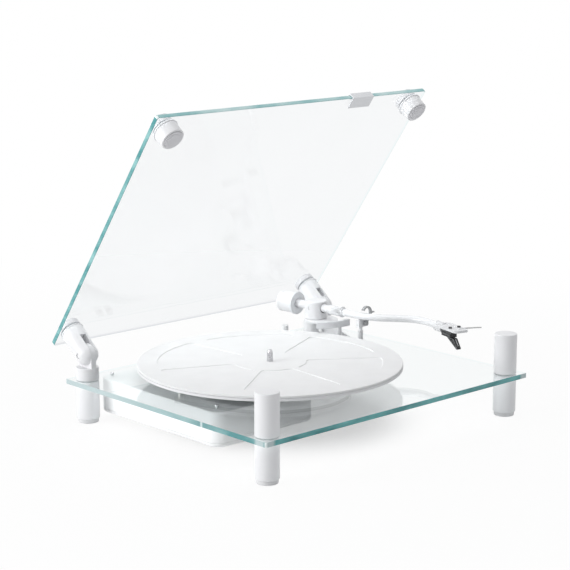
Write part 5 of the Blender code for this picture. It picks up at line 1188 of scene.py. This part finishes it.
def make_platter():
    zero, hole = PLATE_TOP, SPINDLE_RADIUS + GAP
    mat_top, mat_low = zero + MAT_TOP, zero + MAT_TOP - MAT_THICK
    top = mat_low - GAP
    under = top - PLATTER_PLATE
    inside, skirt = PLATTER_RADIUS - PLATTER_WALL, zero + SKIRT_LOW
    rim = (
        (hole, under), (inside, under), (inside, skirt), (PLATTER_RADIUS, skirt, SOFT_EDGE),
        (PLATTER_RADIUS, top, FINE_EDGE), (hole, top),
    )
    piece(
        "platter_turned", turned(rim, PLATTER_X, PLATTER_Y, DISC), RIM_LACQUER, "platter",
        ("platter",),
    )
    mat = (
        (hole, mat_low), (MAT_RADIUS, mat_low, FINE_EDGE), (MAT_RADIUS, mat_top, FULL_EDGE),
        (hole, mat_top, EDGE), (hole, mat_top - MAT_BORE_POINT),
    )
    levels = (-WEDGE_SLOPE, mat_top - WEDGE_DEPTH), (0.0, mat_top), (WEDGE_SLOPE, mat_top + WEDGE_DEPTH)
    cuts = [
        stack([(wedge(TURN / WEDGES * number, grow), level) for grow, level in levels])
        for number in range(WEDGES)
    ]
    body = carved(turned(mat, sides=DISC), cuts=[together(*cuts)])
    piece(
        "mat_with_wedges", moved(body, PLATTER_X, PLATTER_Y), MAT_FINISH, "platter",
        ("platter_mat",), sharp=MAT_SHARP,
    )
    seat = under - GAP
    deep, hub_low, plate_low = zero - AXLE_DEPTH, zero + SUB_HUB_LOW, zero + SUB_TOP - SUB_PLATE
    inside, rim_low, rim_top = SUB_RADIUS - SUB_WALL, zero + SUB_LOW, zero + SUB_TOP
    sub = (
        (0.0, deep), (AXLE_RADIUS, deep, DULL_EDGE), (AXLE_RADIUS, hub_low), (SUB_HUB, hub_low, BROKEN_EDGE),
        (SUB_HUB, plate_low, ROUND_EDGE), (inside, plate_low, ROUND_EDGE), (inside, rim_low, SOFT_EDGE),
        (SUB_RADIUS, rim_low, SOFT_EDGE), (SUB_RADIUS, rim_top, SOFT_EDGE), (SUB_BOSS, rim_top, EDGE),
        (SUB_BOSS, seat, BROKEN_EDGE), (0.0, seat),
    )
    piece(
        "sub_platter_cast", turned(sub, PLATTER_X, PLATTER_Y, DISC), SUB_CAST, "platter",
        ("sub_platter",),
    )
    tip, foot = zero + MAT_TOP + SPINDLE_RISE, seat + HAIR
    spindle = (
        (0.0, foot), (SPINDLE_RADIUS, foot), (SPINDLE_RADIUS, tip - SPINDLE_CONE, SOFT_EDGE),
        (SPINDLE_RADIUS - SPINDLE_NECK_IN, tip - SPINDLE_NECK, BROKEN_EDGE),
        (SPINDLE_RADIUS - SPINDLE_TIP_IN, tip, FOOT_EDGE), (0.0, tip),
    )
    piece(
        "centre_spindle", turned(spindle, PLATTER_X, PLATTER_Y, MIDDLE), SPINDLE_STEEL, "platter",
    )


def make_knob():
    zero, under = PLATE_TOP, PLATE_LOW - GAP
    deep, collar, low, top = zero - KNOB_DEPTH, under - KNOB_COLLAR_THICK, zero + GAP, zero + KNOB_TOP
    profile = (
        (0.0, deep), (KNOB_STEM, deep), (KNOB_STEM, collar), (KNOB_COLLAR, collar, FINE_EDGE),
        (KNOB_COLLAR, under), (KNOB_STEM, under), (KNOB_STEM, low), (KNOB_RADIUS, low, EDGE),
        (KNOB_RADIUS, top, FULL_EDGE), (0.0, top),
    )
    half, ahead = KNOB_MARK_HALF, 2 * KNOB_RADIUS
    outline = [(-half, -ahead), (half, -ahead), (half, 0.0), (-half, 0.0)]
    mark = prism(outline, top - KNOB_MARK_DEPTH, top + OVERRUN)
    body = carved(turned(profile, sides=MIDDLE), cuts=[mark], bevel=KNOB_MARK_EDGE, segments=1, angle=60.0)
    piece("knob_turned", moved(body, KNOB_X, KNOB_Y), SHELL, "knob", ("control_knob",))


# Tonearm.


def make_arm_base():
    zero = PLATE_TOP
    low, top, deep = zero + GAP, zero + COLUMN_TOP, zero - COLUMN_DEPTH
    column = (
        (0.0, deep), (COLUMN_STEM, deep, BROKEN_EDGE), (COLUMN_STEM, low), (COLUMN_RADIUS, low, EDGE),
        (COLUMN_RADIUS, top, ROUND_EDGE), (0.0, top),
    )
    web = prism(rounded(COLUMN_S, PILLAR_S, -WEB_HALF, WEB_HALF, SOFT_EDGE, 3), zero + WEB_RISE, top)
    pillar = turned(
        ((0.0, low), (PILLAR_RADIUS, low, EDGE), (PILLAR_RADIUS, top), (0.0, top)), PILLAR_S, sides=MIDDLE
    )
    cue_bore = circle(CUE_SHAFT + GAP, FINE, CUE_S, zero + CUE_RISE)
    bores = [
        drill(YAW_STEM + GAP, zero + YAW_BORE_LOW, zero + ABOVE_COLUMN),
        drill(LIFT_STEM + GAP, zero + LIFT_BORE_LOW, zero + ABOVE_COLUMN, PILLAR_S),
        prism(cue_bore, -CUE_BORE_HALF, CUE_BORE_HALF, "Y"),
    ]
    body = carved(
        turned(column, COLUMN_S), joins=[web, pillar], cuts=[together(*bores)], bevel=FINE_EDGE,
        segments=1, angle=50.0,
    )
    piece("arm_column", body, LACQUER, "base", ("arm_base",), place=ARM_FLOOR)
    hole, high = COLUMN_STEM + GAP, PLATE_LOW - GAP
    low = high - NUT_THICK
    nut = ((hole, low), (NUT_RADIUS, low, SOFT_EDGE), (NUT_RADIUS, high, BROKEN_EDGE), (hole, high))
    body = moved(turned_ring(nut, MIDDLE), COLUMN_S)
    piece("column_nut", body, LACQUER, "base", ("arm_base_nut",), place=ARM_FLOOR)
    low, top = zero + ROUND_PLATE_LOW, zero + ROUND_PLATE_TOP
    disc = (
        (0.0, low), (ROUND_PLATE_RADIUS, low, SOFT_EDGE), (ROUND_PLATE_RADIUS, top, ROUND_EDGE), (0.0, top),
    )
    hole = prism(
        circle(YAW_STEM + GAP, FINE, -ROUND_PLATE_S), zero + YAW_STEM_LOW, zero + ABOVE_COLUMN
    )
    body = moved(carved(turned(disc, sides=DISC), cuts=[hole]), ROUND_PLATE_S)
    piece("arm_round_plate", body, LACQUER, "base", ("arm_disc",), place=ARM_FLOOR)


def make_cueing():
    zero, inner = PLATE_TOP, CUE_BLADE_IN
    shaft = rod(CUE_SHAFT, (0.0, -CUE_SHAFT_IN, 0.0), (0.0, CUE_SHAFT_OUT, 0.0))
    collar = rod(CUE_COLLAR, (0.0, CUE_COLLAR_FROM, 0.0), (0.0, CUE_COLLAR_TO, 0.0))
    tip = CUE_LENGTH * math.cos(CUE_SLOPE), CUE_LENGTH * math.sin(CUE_SLOPE)
    blade = arc(CUE_ROOT, QUARTER + CUE_SLOPE, 3 * QUARTER + CUE_SLOPE, 20)
    blade += arc(CUE_TIP, -QUARTER + CUE_SLOPE, QUARTER + CUE_SLOPE, 16, *tip)
    body = carved(prism(blade, inner, CUE_SHAFT_OUT + GAP, "Y"), joins=[shaft, collar], bevel=EDGE)
    place = ARM_FLOOR @ Matrix.Translation((CUE_S, 0.0, zero + CUE_RISE))
    piece("cue_handle", body, SHELL, "cue", ("cue_lever",), place=place)
    half, low = LIFT_WIDTH / 2, zero + LIFT_LOW
    outline = arc(LIFT_RADIUS + half, LIFT_FROM, LIFT_TO, LIFT_STEPS)
    outline += arc(LIFT_RADIUS - half, LIFT_TO, LIFT_FROM, LIFT_STEPS)
    bar = prism(outline, low, zero + LIFT_TOP)
    ends = Vector((PILLAR_S - STRAP_HALF, 0.0)), Vector((LIFT_RADIUS, 0.0))
    strap = prism(strip(*ends, Vector((0.0, STRAP_HALF))), low, zero + STRAP_TOP)
    stem = drill(LIFT_STEM, low - LIFT_STEM_LENGTH, zero + LIFT_STEM_TOP, PILLAR_S)
    body = carved(bar, joins=[strap, stem], bevel=BROKEN_EDGE)
    piece("lift_bar", body, LIFT_GREY, "lift", ("lift_platform",), place=ARM_FLOOR)


def make_yaw_and_core():
    zero = PLATE_TOP
    deep, low, top = zero + YAW_STEM_LOW, zero + ROUND_PLATE_TOP + GAP, zero + YAW_TOP
    yaw = (
        (0.0, deep), (YAW_STEM, deep), (YAW_STEM, low), (YAW_RADIUS, low, EDGE), (YAW_RADIUS, top, YAW_EDGE),
        (0.0, top),
    )
    wide, level = 2 * YAW_RADIUS, zero + ARM_AXIS
    tunnel = prism(circle(TUNNEL_RADIUS, MIDDLE + 1, 0.0, level), -wide, wide, "X")
    cross = prism(circle(TRUNNION + GAP, FINE + 1, 0.0, level), -wide, wide, "Y")
    body = carved(turned(yaw), cuts=[tunnel, cross], bevel=FINE_EDGE, angle=45.0)
    piece("yaw_housing", body, LACQUER, "arm_yaw", ("arm_yaw_body",), place=ARM_FLOOR)
    core = (
        (0.0, -SHAFT_END), (SHAFT_RADIUS, -SHAFT_END, FULL_EDGE), (SHAFT_RADIUS, -CORE_BACK),
        (CORE_RADIUS, -CORE_BACK, EDGE), (CORE_RADIUS, CORE_FRONT, SOFT_EDGE), (0.0, CORE_FRONT),
    )
    end = YAW_RADIUS - TRUNNION_SUNK
    trunnion = prism(circle(TRUNNION, FINE + 1), -end, end, "Y")
    stem = rod(STEM_RADIUS, tube_point(STEM_START), tube_point(STEM_END))
    body = carved(lathe(filleted(core), MIDDLE, "S"), joins=[trunnion, stem])
    piece("core_turned", body, LACQUER, "arm", ("arm_core",), place=ARM)


def tube_point(distance):
    start, corner = Vector(TUBE_CORNERS[0]), Vector(TUBE_CORNERS[1])
    return (start + (corner - start).normalized() * distance).to_3d()


def arm_line(t, side=0.0, height=0.0):
    """A point of the arm's frame T along the headshell's line and SIDE outwards from it."""
    cos, sin = math.cos(HEAD_TURN), math.sin(HEAD_TURN)
    return Vector((REACH_OF_ARM + t * cos - side * sin, TIP_V + t * sin + side * cos, height))


def on_arm_line(bm):
    """BM, drawn with T along X, brought to its place on the headshell's line."""
    for vert in bm.verts:
        vert.co = arm_line(vert.co.x, vert.co.y, vert.co.z)
    bmesh.ops.recalc_face_normals(bm, faces=bm.faces)
    return bm


def make_tube():
    corners = [Vector(c).to_3d() for c in TUBE_CORNERS] + [arm_line(TUBE_END_T)]
    points = [tube_point(COLLAR_END - OVERRUN)]
    for before, corner, after in zip(corners, corners[1:], corners[2:]):
        start = corner + (before - corner).normalized() * BEND_LENGTH
        end = corner + (after - corner).normalized() * BEND_LENGTH
        points += [bent(start, corner, end, step / BEND_STEPS) for step in range(BEND_STEPS + 1)]
    points.append(corners[-1])
    path = [(i, i + 1) for i in range(len(points) - 1)]
    bar = grown(points, path, sweep_tree(ARM_WHITE), Radius=TUBE_RADIUS, Sides=TUBE_SIDES)
    collar = on_tube(
        (
            (0.0, TUBE_START), (COLLAR_RADIUS, TUBE_START, FULL_EDGE),
            (COLLAR_RADIUS, COLLAR_END, FOOT_EDGE), (0.0, COLLAR_END),
        )
    )
    bore = rod(STEM_RADIUS + GAP, tube_point(TUBE_START - OVERRUN), tube_point(STEM_BORE_END))
    inner, outer = COLLAR_RADIUS - RING_DEPTH, COLLAR_RADIUS + GROOVE_CLEAR
    grooves = [
        on_tube(((inner, at), (outer, at), (outer, at + RING_WIDTH), (inner, at + RING_WIDTH)))
        for at in RING_STARTS
    ]
    body = carved(bar, joins=[collar], cuts=[bore, *grooves], bevel=TUBE_EDGE, segments=1, angle=50.0)
    piece(
        "tube_s_bend", body, ARM_WHITE, "arm", ("arm_tube",), place=ARM, sharp=40.0
    )


def on_tube(profile):
    """Body of revolution about the tube's first straight, its heights measured from the pivot."""
    bm = lathe(filleted(profile), MIDDLE)
    aim = (Vector(TUBE_CORNERS[1]) - Vector(TUBE_CORNERS[0])).to_3d().normalized()
    bm.transform(Vector((0.0, 0.0, 1.0)).rotation_difference(aim).to_matrix().to_4x4())
    return bm


def head_plan(t0, t1, half, radius, steps=12):
    return [arm_line(t, side)[:2] for t, side in rounded(t0, t1, -half, half, radius, steps)]


def screw_holes(low, high):
    """Bars that cut the holes of the two head screws."""
    spots = [arm_line(SCREW_T, side)[:2] for side in (-SCREW_SIDE, SCREW_SIDE)]
    return together(*(drill(SCREW_RADIUS + GAP, low, high, *at) for at in spots))


def blade_or_shell(face):
    """The finger blade's finish for faces beyond the shell's side, the shell's for the rest."""
    off = face.calc_center_median() - arm_line(0.0)
    side = off.y * math.cos(HEAD_TURN) - off.x * math.sin(HEAD_TURN)
    return 1 if side > HEAD_HALF + GAP else 0


def make_head():
    top = HEAD_TOP - ARM_AXIS
    low = top - HEAD_THICK
    plate = prism(head_plan(HEAD_BACK_T, HEAD_FRONT_T, HEAD_HALF, HEAD_CORNER), low, top)
    neck = rod(NECK_RADIUS, arm_line(NECK_BACK_T), arm_line(NECK_FRONT_T), MIDDLE)
    socket = rod(TUBE_RADIUS + GAP, arm_line(NECK_BACK_T - OVERRUN), arm_line(TUBE_END_T + GAP), FINE)
    start = NECK_BACK_T + NECK_RING
    end = start + NECK_RING_WIDTH
    ring = rod(NECK_RADIUS + GROOVE_CLEAR, arm_line(start), arm_line(end), MIDDLE)
    keep = rod(
        NECK_RADIUS - NECK_RING_DEPTH, arm_line(start - GROOVE_CLEAR), arm_line(end + GROOVE_CLEAR), MIDDLE
    )
    groove = carved(ring, cuts=[keep])
    body = carved(
        plate, joins=[neck, finger_blade(top)],
        cuts=[socket, groove, screw_holes(low - OVERRUN, top + OVERRUN)], bevel=DULL_EDGE, segments=3,
        angle=40.0,
    )
    # The headshell's plate takes the darker white of painted shade.
    piece(
        "headshell_plate", body, (HEAD_SHADED_WHITE, FINGER_GREY), "arm", ("headshell",),
        place=ARM, faces=blade_or_shell,
    )
    heads = screw_tree(SCREW_BLACK)
    for number, side in (("inner", -SCREW_SIDE), ("outer", SCREW_SIDE)):
        at = arm_line(SCREW_T, side, top + GAP + SCREW_HEAD / 2)
        shank = rod(SCREW_RADIUS, at - Vector((0.0, 0.0, SCREW_LENGTH)), at)
        body = carved(grown([at], [], heads), joins=[shank], bevel=HAIR)
        piece(
            f"slotted_screw_{number}", body, SCREW_BLACK, "arm", (f"head_screw_{number}",),
            place=ARM,
        )
    make_cartridge(low - GAP)


def finger_blade(top):
    """Thin blade that leaves the shell's side and sweeps forwards in one curve."""
    root, middle = (FINGER_T, HEAD_HALF), (FINGER_T + FINGER_BEND_T, HEAD_HALF + FINGER_BEND_OUT)
    end = (FINGER_T + FINGER_SWEEP, FINGER_LENGTH)
    stations = [((FINGER_T, 0.0), 0.0, 1.0)]
    for step in range(FINGER_STEPS + 1):
        k = step / FINGER_STEPS
        place = [bent(*points, k) for points in zip(root, middle, end)]
        stations.append((place, FINGER_RISE * k**2, 1.0 + (FINGER_TIP - 1.0) * k**1.5))
    bm = bmesh.new()
    rings = []
    for (t, side), rise, share in stations:
        half = FINGER_WIDTH / 2 * share
        ring = [
            arm_line(t + a * half, side, top + b * FINGER_THICK / 2 + rise)
            for a, b in ((-1, -1), (1, -1), (1, 1), (-1, 1))
        ]
        rings.append([bm.verts.new(point) for point in ring])
    return skinned(bm, rings)


def highlight_banded(bm, chosen, inset, width):
    """Narrow bands, in the second finish, along the outlines of the faces that CHOSEN picks: painted
    highlights on their edges.
    """
    bmesh.ops.dissolve_limit(bm, angle_limit=math.radians(0.5), verts=bm.verts, edges=bm.edges)
    faces = [face for face in bm.faces if chosen(face)]
    bmesh.ops.inset_individual(bm, faces=faces, thickness=inset, use_even_offset=True)
    band = bmesh.ops.inset_individual(bm, faces=faces, thickness=width, use_even_offset=True)["faces"]
    for face in bm.faces:
        face.material_index = 0
    for face in band:
        face.material_index = 1


def side_or_back(face):
    """Whether a face of the cartridge is a large one of its back or its sides."""
    back_way, side_way = arm_line(0.0) - arm_line(1.0), arm_line(0.0, 1.0) - arm_line(0.0)
    turned_out = face.normal.dot(back_way) > FLAT or abs(face.normal.dot(side_way)) > FLAT
    return face.calc_area() > CART_LARGE and turned_out


def stylus_side(face):
    return abs(face.normal.y) > FLAT and face.calc_area() > STYLUS_LARGE


def make_cartridge(top):
    low, ledge, corner = CART_LOW - ARM_AXIS, top - CART_FLANGE, ROUND_EDGE
    flange = prism(head_plan(FLANGE_BACK_T, FLANGE_FRONT_T, FLANGE_HALF, CORNER_EDGE), ledge, top)
    back = prism(head_plan(CART_BACK_T, FLANGE_BACK_T + CART_JOIN, CART_HALF, corner), ledge, top)
    body = prism(
        head_plan(CART_BACK_T + GAP, CART_FRONT_T, CART_HALF - GAP, corner), low, ledge + CART_JOIN
    )
    beyond, within = GROOVE_CLEAR, SEAM_DEPTH
    line = prism(
        head_plan(CART_BACK_T - beyond, CART_FRONT_T + beyond, CART_HALF + beyond, corner),
        low + SEAM_RISE, low + SEAM_RISE + SEAM_WIDTH,
    )
    kept = prism(
        head_plan(CART_BACK_T + within, CART_FRONT_T - GAP, CART_HALF - within, corner),
        low + SEAM_CORE_LOW, low + SEAM_CORE_TOP,
    )
    seam = carved(line, cuts=[kept])
    wells = screw_holes(top - WELL_DEPTH, top + OVERRUN)
    shape = carved(flange, joins=[back, body], cuts=[wells, seam], bevel=EDGE, angle=40.0)
    # Grey bands along the large back and side faces are painted highlights on the black moulding's edges.
    highlight_banded(shape, side_or_back, BAND_INSET, CART_BAND)
    looks = (BLACK, EDGE_HIGHLIGHT_GREY)
    piece("cartridge_moulded", shape, looks, "arm", ("cartridge",), place=ARM)
    upper, tip = low - GAP, STYLUS_TIP - ARM_AXIS
    outline = (
        (STYLUS_BACK_T, upper), (STYLUS_TIP_BACK_T, tip), (-GAP, tip), (0.0, tip + STYLUS_NOSE),
        (STYLUS_TOP_T, upper),
    )
    holder = prism(outline, -STYLUS_HALF, STYLUS_HALF, "Y")
    shape = carved(holder, bevel=DULL_EDGE, segments=3, angle=20.0)
    # Grey bands along the stylus holder's sides are painted highlights.
    highlight_banded(shape, stylus_side, BAND_INSET, STYLUS_BAND)
    piece("stylus_holder", on_arm_line(shape), looks, "arm", ("stylus",), place=ARM)
    ridge = Vector((STYLUS_TOP_T, upper))
    slope = (Vector((-GAP, tip + SIGHT_DROP)) - ridge).normalized()
    start = ridge + slope * SIGHT_START
    stripe = strip(start, start + slope * SIGHT_LENGTH, Vector((-slope.y, slope.x)) * SIGHT_RAISED)
    body = on_arm_line(prism(stripe, -SIGHT_HALF, SIGHT_HALF, "Y"))
    piece("stylus_sight_line", body, ARM_WHITE, "arm", place=ARM)


def make_rest_and_latch():
    zero = PLATE_TOP
    low, inner, outer, length = REST_BLOCK
    deep, ground, foot, shoulder = zero - REST_DEPTH, zero + GAP, zero + REST_FOOT_TOP, zero + REST_SHOULDER
    low, neck_top = zero + low, zero + low + REST_JOIN
    post = (
        (0.0, deep), (REST_STEM, deep, FINE_EDGE), (REST_STEM, ground), (REST_FOOT, ground, FINE_EDGE),
        (REST_FOOT, foot, EDGE), (REST_RADIUS, foot), (REST_RADIUS, shoulder, DULL_EDGE),
        (REST_NECK, shoulder), (REST_NECK, neck_top), (0.0, neck_top),
    )
    inner, outer, lip, lip_top = inner - REST_V, outer - REST_V, TUBE_RADIUS + GAP, zero + REST_LIP
    seat = zero + ARM_AXIS - TUBE_RADIUS - GAP
    outline = (
        (inner, low), (outer, low), (outer, lip_top), (lip, lip_top), (lip, seat), (inner, seat),
    )
    block = prism(outline, -length / 2, length / 2, "X")
    hole = circle(LATCH_PIN + GAP, FINE, LATCH_V - REST_V, zero + LATCH_RISE)
    cuts = [prism(hole, -length, length, "X")]
    body = carved(turned(post, sides=MIDDLE), joins=[block], cuts=cuts, bevel=EDGE, angle=50.0)
    place = ARM_FLOOR @ Matrix.Translation((REST_S, REST_V, 0.0))
    piece("rest_post", body, REST_GREY, "base", ("arm_rest",), place=place)
    centre = Vector((REST_V - LATCH_V, HOOK_RISE - LATCH_RISE))
    hook = arc(HOOK_RADIUS + HOOK_THICK, HOOK_FROM, HOOK_TO, HOOK_STEPS, *centre)
    hook += arc(HOOK_RADIUS, HOOK_TO, HOOK_FROM, HOOK_STEPS, *centre)
    mid = HOOK_RADIUS + HOOK_THICK / 2
    end = centre + Vector((math.cos(HOOK_FROM), math.sin(HOOK_FROM))) * mid
    away = end.normalized()
    leg = strip(
        Vector((0.0, 0.0)), end + away * HOOK_THICK / 2, Vector((-away.y, away.x)) * HOOK_THICK / 2
    )
    aim = Vector((math.cos(TAB_AT), math.sin(TAB_AT)))
    start = centre + aim * mid
    tab = strip(start, start + aim * TAB_LENGTH, Vector((-aim.y, aim.x)) * TAB_HALF)
    leg, hub, tab = (prism(flat, 0.0, LATCH_WIDTH, "X") for flat in (leg, circle(LATCH_HUB, MIDDLE), tab))
    pin = prism(circle(LATCH_PIN, FINE), -length - GAP, LATCH_WIDTH / 2, "X")
    body = carved(
        prism(hook, 0.0, LATCH_WIDTH, "X"), joins=[leg, hub, pin, tab], bevel=FINE_EDGE, angle=50.0
    )
    place = ARM_FLOOR @ Matrix.Translation((REST_S + length / 2 + GAP, LATCH_V, zero + LATCH_RISE))
    place = place @ Matrix.Rotation(-LATCH_OPEN, 4, "X")
    piece("latch_hook", body, DARK_GREY, "latch", ("arm_latch",), place=place)


def make_weight():
    bore, back, hub = SHAFT_RADIUS + GAP, DIAL_FRONT + DIAL_THICK, -DIAL_FRONT - DIAL_HUB_SUNK
    dial = (
        (bore, -back), (DIAL_RADIUS, -back, SOFT_EDGE), (DIAL_RADIUS, -DIAL_FRONT, SOFT_EDGE),
        (DIAL_HUB, -DIAL_FRONT, EDGE), (DIAL_HUB, hub, FINE_EDGE), (bore, hub),
    )
    ticks = grown(
        [(0.0, 0.0, 0.0)], [], ring_tree(DIAL_GREY), Count=DIAL_TICKS, Radius=DIAL_RADIUS, Size=TICK
    )
    turn_to_s(ticks, -DIAL_FRONT - DIAL_THICK / 2)
    body = carved(turned_ring(dial, DISC, "S"), cuts=[ticks])
    piece("dial_ring", body, DIAL_GREY, "dial", ("weight_dial",), place=ARM)
    front = back + GAP
    mass = (
        (bore, -WEIGHT_BACK), (WEIGHT_RADIUS, -WEIGHT_BACK, WEIGHT_EDGE),
        (WEIGHT_RADIUS, -front, SOFT_EDGE), (bore, -front),
    )
    inner, outer = WEIGHT_RADIUS - WEIGHT_LINE_DEPTH, WEIGHT_RADIUS + GROOVE_CLEAR
    start, end = -WEIGHT_LINE, WEIGHT_LINE_WIDTH - WEIGHT_LINE
    groove = lathe([(inner, start), (outer, start), (outer, end), (inner, end)], DISC, "S")
    body = carved(turned_ring(mass, DISC, "S"), cuts=[groove])
    piece("counterweight_turned", body, LACQUER, "weight", ("counterweight",), place=ARM)


def finish_kept_nodes():
    kept = {
        "hinge_pin_left": LACQUER,
        "hinge_pin_right": LACQUER,
        "bearing_housing": CAST,
        "motor_pulley": PULLEY_NICKEL,
        "motor": MOTOR_CAN,
        "power_socket": BLACK,
        "signal_sockets": BLACK,
        "drive_belt": BELT,
        "circuit_board": BOARD,
    }
    for name, material in kept.items():
        for number in range(len(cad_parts[name].material_slots)):
            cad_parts[name].material_slots[number].material = material


make_plate()
make_posts()
make_lid()
make_housing()
make_platter()
make_knob()
make_arm_base()
make_cueing()
make_yaw_and_core()
make_tube()
make_head()
make_rest_and_latch()
make_weight()
finish_kept_nodes()


# Studio and camera.

WHITE, WORLD_TINT, FLOOR_GREY = (1.0, 1.0, 1.0, 1.0), (0.97, 0.985, 1.0, 1.0), (0.86, 0.86, 0.86, 1.0)
FLOOR_SIZE, FLOOR_LEVEL, FLOOR_ROUGH = 40.0, -0.0002, 0.9
CAMERA_PLACE = (-1.461658, -1.556982, 0.620205)
CAMERA_YAW, CAMERA_PITCH = 0.7465318991612135, -0.20891661868218375
FOCAL_PIXELS, PHOTO_PIXELS, SENSOR = 1795.808, 570, 36.0


def white_to_camera(tree, share):
    """SHARE of plain white for rays that come straight, by reflection or through glass."""
    ray = node(tree, "ShaderNodeLightPath").outputs
    straight = maths(tree, "MAXIMUM", ray["Is Camera Ray"], ray["Is Glossy Ray"])
    seen = maths(tree, "MAXIMUM", straight, ray["Is Transmission Ray"])
    return maths(tree, "MULTIPLY", seen, share)


def make_world(strength):
    world = bpy.data.worlds.new("studio")
    world.use_nodes = True
    tree = world.node_tree
    back = tree.nodes["Background"]
    feed(tree, back, (("Color", WORLD_TINT), ("Strength", strength)))
    plain = node(tree, "ShaderNodeBackground", (("Color", WHITE), ("Strength", 1.0)))
    blend(tree, white_to_camera(tree, 1.0), back, plain, "World Output")
    bpy.context.scene.world = world


def make_floor(share, rises):
    """White floor that keeps the object's soft shadow and turns plain white further out.

    RISES lists how much plain white is added between a near and a far distance.
    """
    bm = bmesh.new()
    bmesh.ops.create_grid(bm, x_segments=4, y_segments=4, size=FLOOR_SIZE)
    floor = linked("studio_floor", as_mesh(bm, "studio_floor"))
    floor.location.z = FLOOR_LEVEL
    material, tree, shader, place = blank_material("studio_white_floor")
    feed(tree, shader, (("Base Color", FLOOR_GREY), ("Roughness", FLOOR_ROUGH)))
    away = node(tree, "ShaderNodeVectorMath", ((0, place),), operation="LENGTH").outputs["Value"]
    plain = share
    for near, far, rise in rises:
        step = ranged(tree, away, near, far, 0.0, rise, interpolation_type="SMOOTHSTEP")
        plain = maths(tree, "ADD", step, plain)
    glow = node(tree, "ShaderNodeEmission", (("Color", WHITE), ("Strength", 1.0)))
    blend(tree, white_to_camera(tree, plain), shader, glow)
    floor.data.materials.append(material)


def lamp(name, at, aim, power, size):
    light = bpy.data.lights.new(name, "AREA")
    light.energy = power
    light.size = size
    obj = linked(name, light)
    obj.location = at
    obj.rotation_euler = (Vector(aim) - Vector(at)).to_track_quat("-Z", "Y").to_euler()


def make_camera(yaw, pitch):
    camera = bpy.data.cameras.new("camera")
    camera.sensor_width = SENSOR
    camera.lens = FOCAL_PIXELS / PHOTO_PIXELS * camera.sensor_width
    camera.clip_start, camera.clip_end = 0.1, 100.0
    obj = linked("camera", camera)
    obj.location = spot(*CAMERA_PLACE)
    aim = Vector((math.sin(yaw) * math.cos(pitch), math.cos(yaw) * math.cos(pitch), math.sin(pitch)))
    obj.rotation_euler = aim.to_track_quat("-Z", "Y").to_euler()
    bpy.context.scene.camera = obj


make_world(strength=0.43)
make_floor(share=0.5, rises=((0.09, 0.19, 0.42), (0.22, 1.1, 0.08)))
lamp("large_soft_left", at=(-2.4, 0.9, 0.8), aim=(0.0, 0.0, 0.08), power=41.0, size=1.5)
lamp("soft_above", at=(0.1, 0.1, 2.6), aim=(0.0, 0.0, 0.0), power=24.0, size=2.0)
make_camera(CAMERA_YAW, CAMERA_PITCH)
bpy.context.scene.view_settings.view_transform = "Standard"
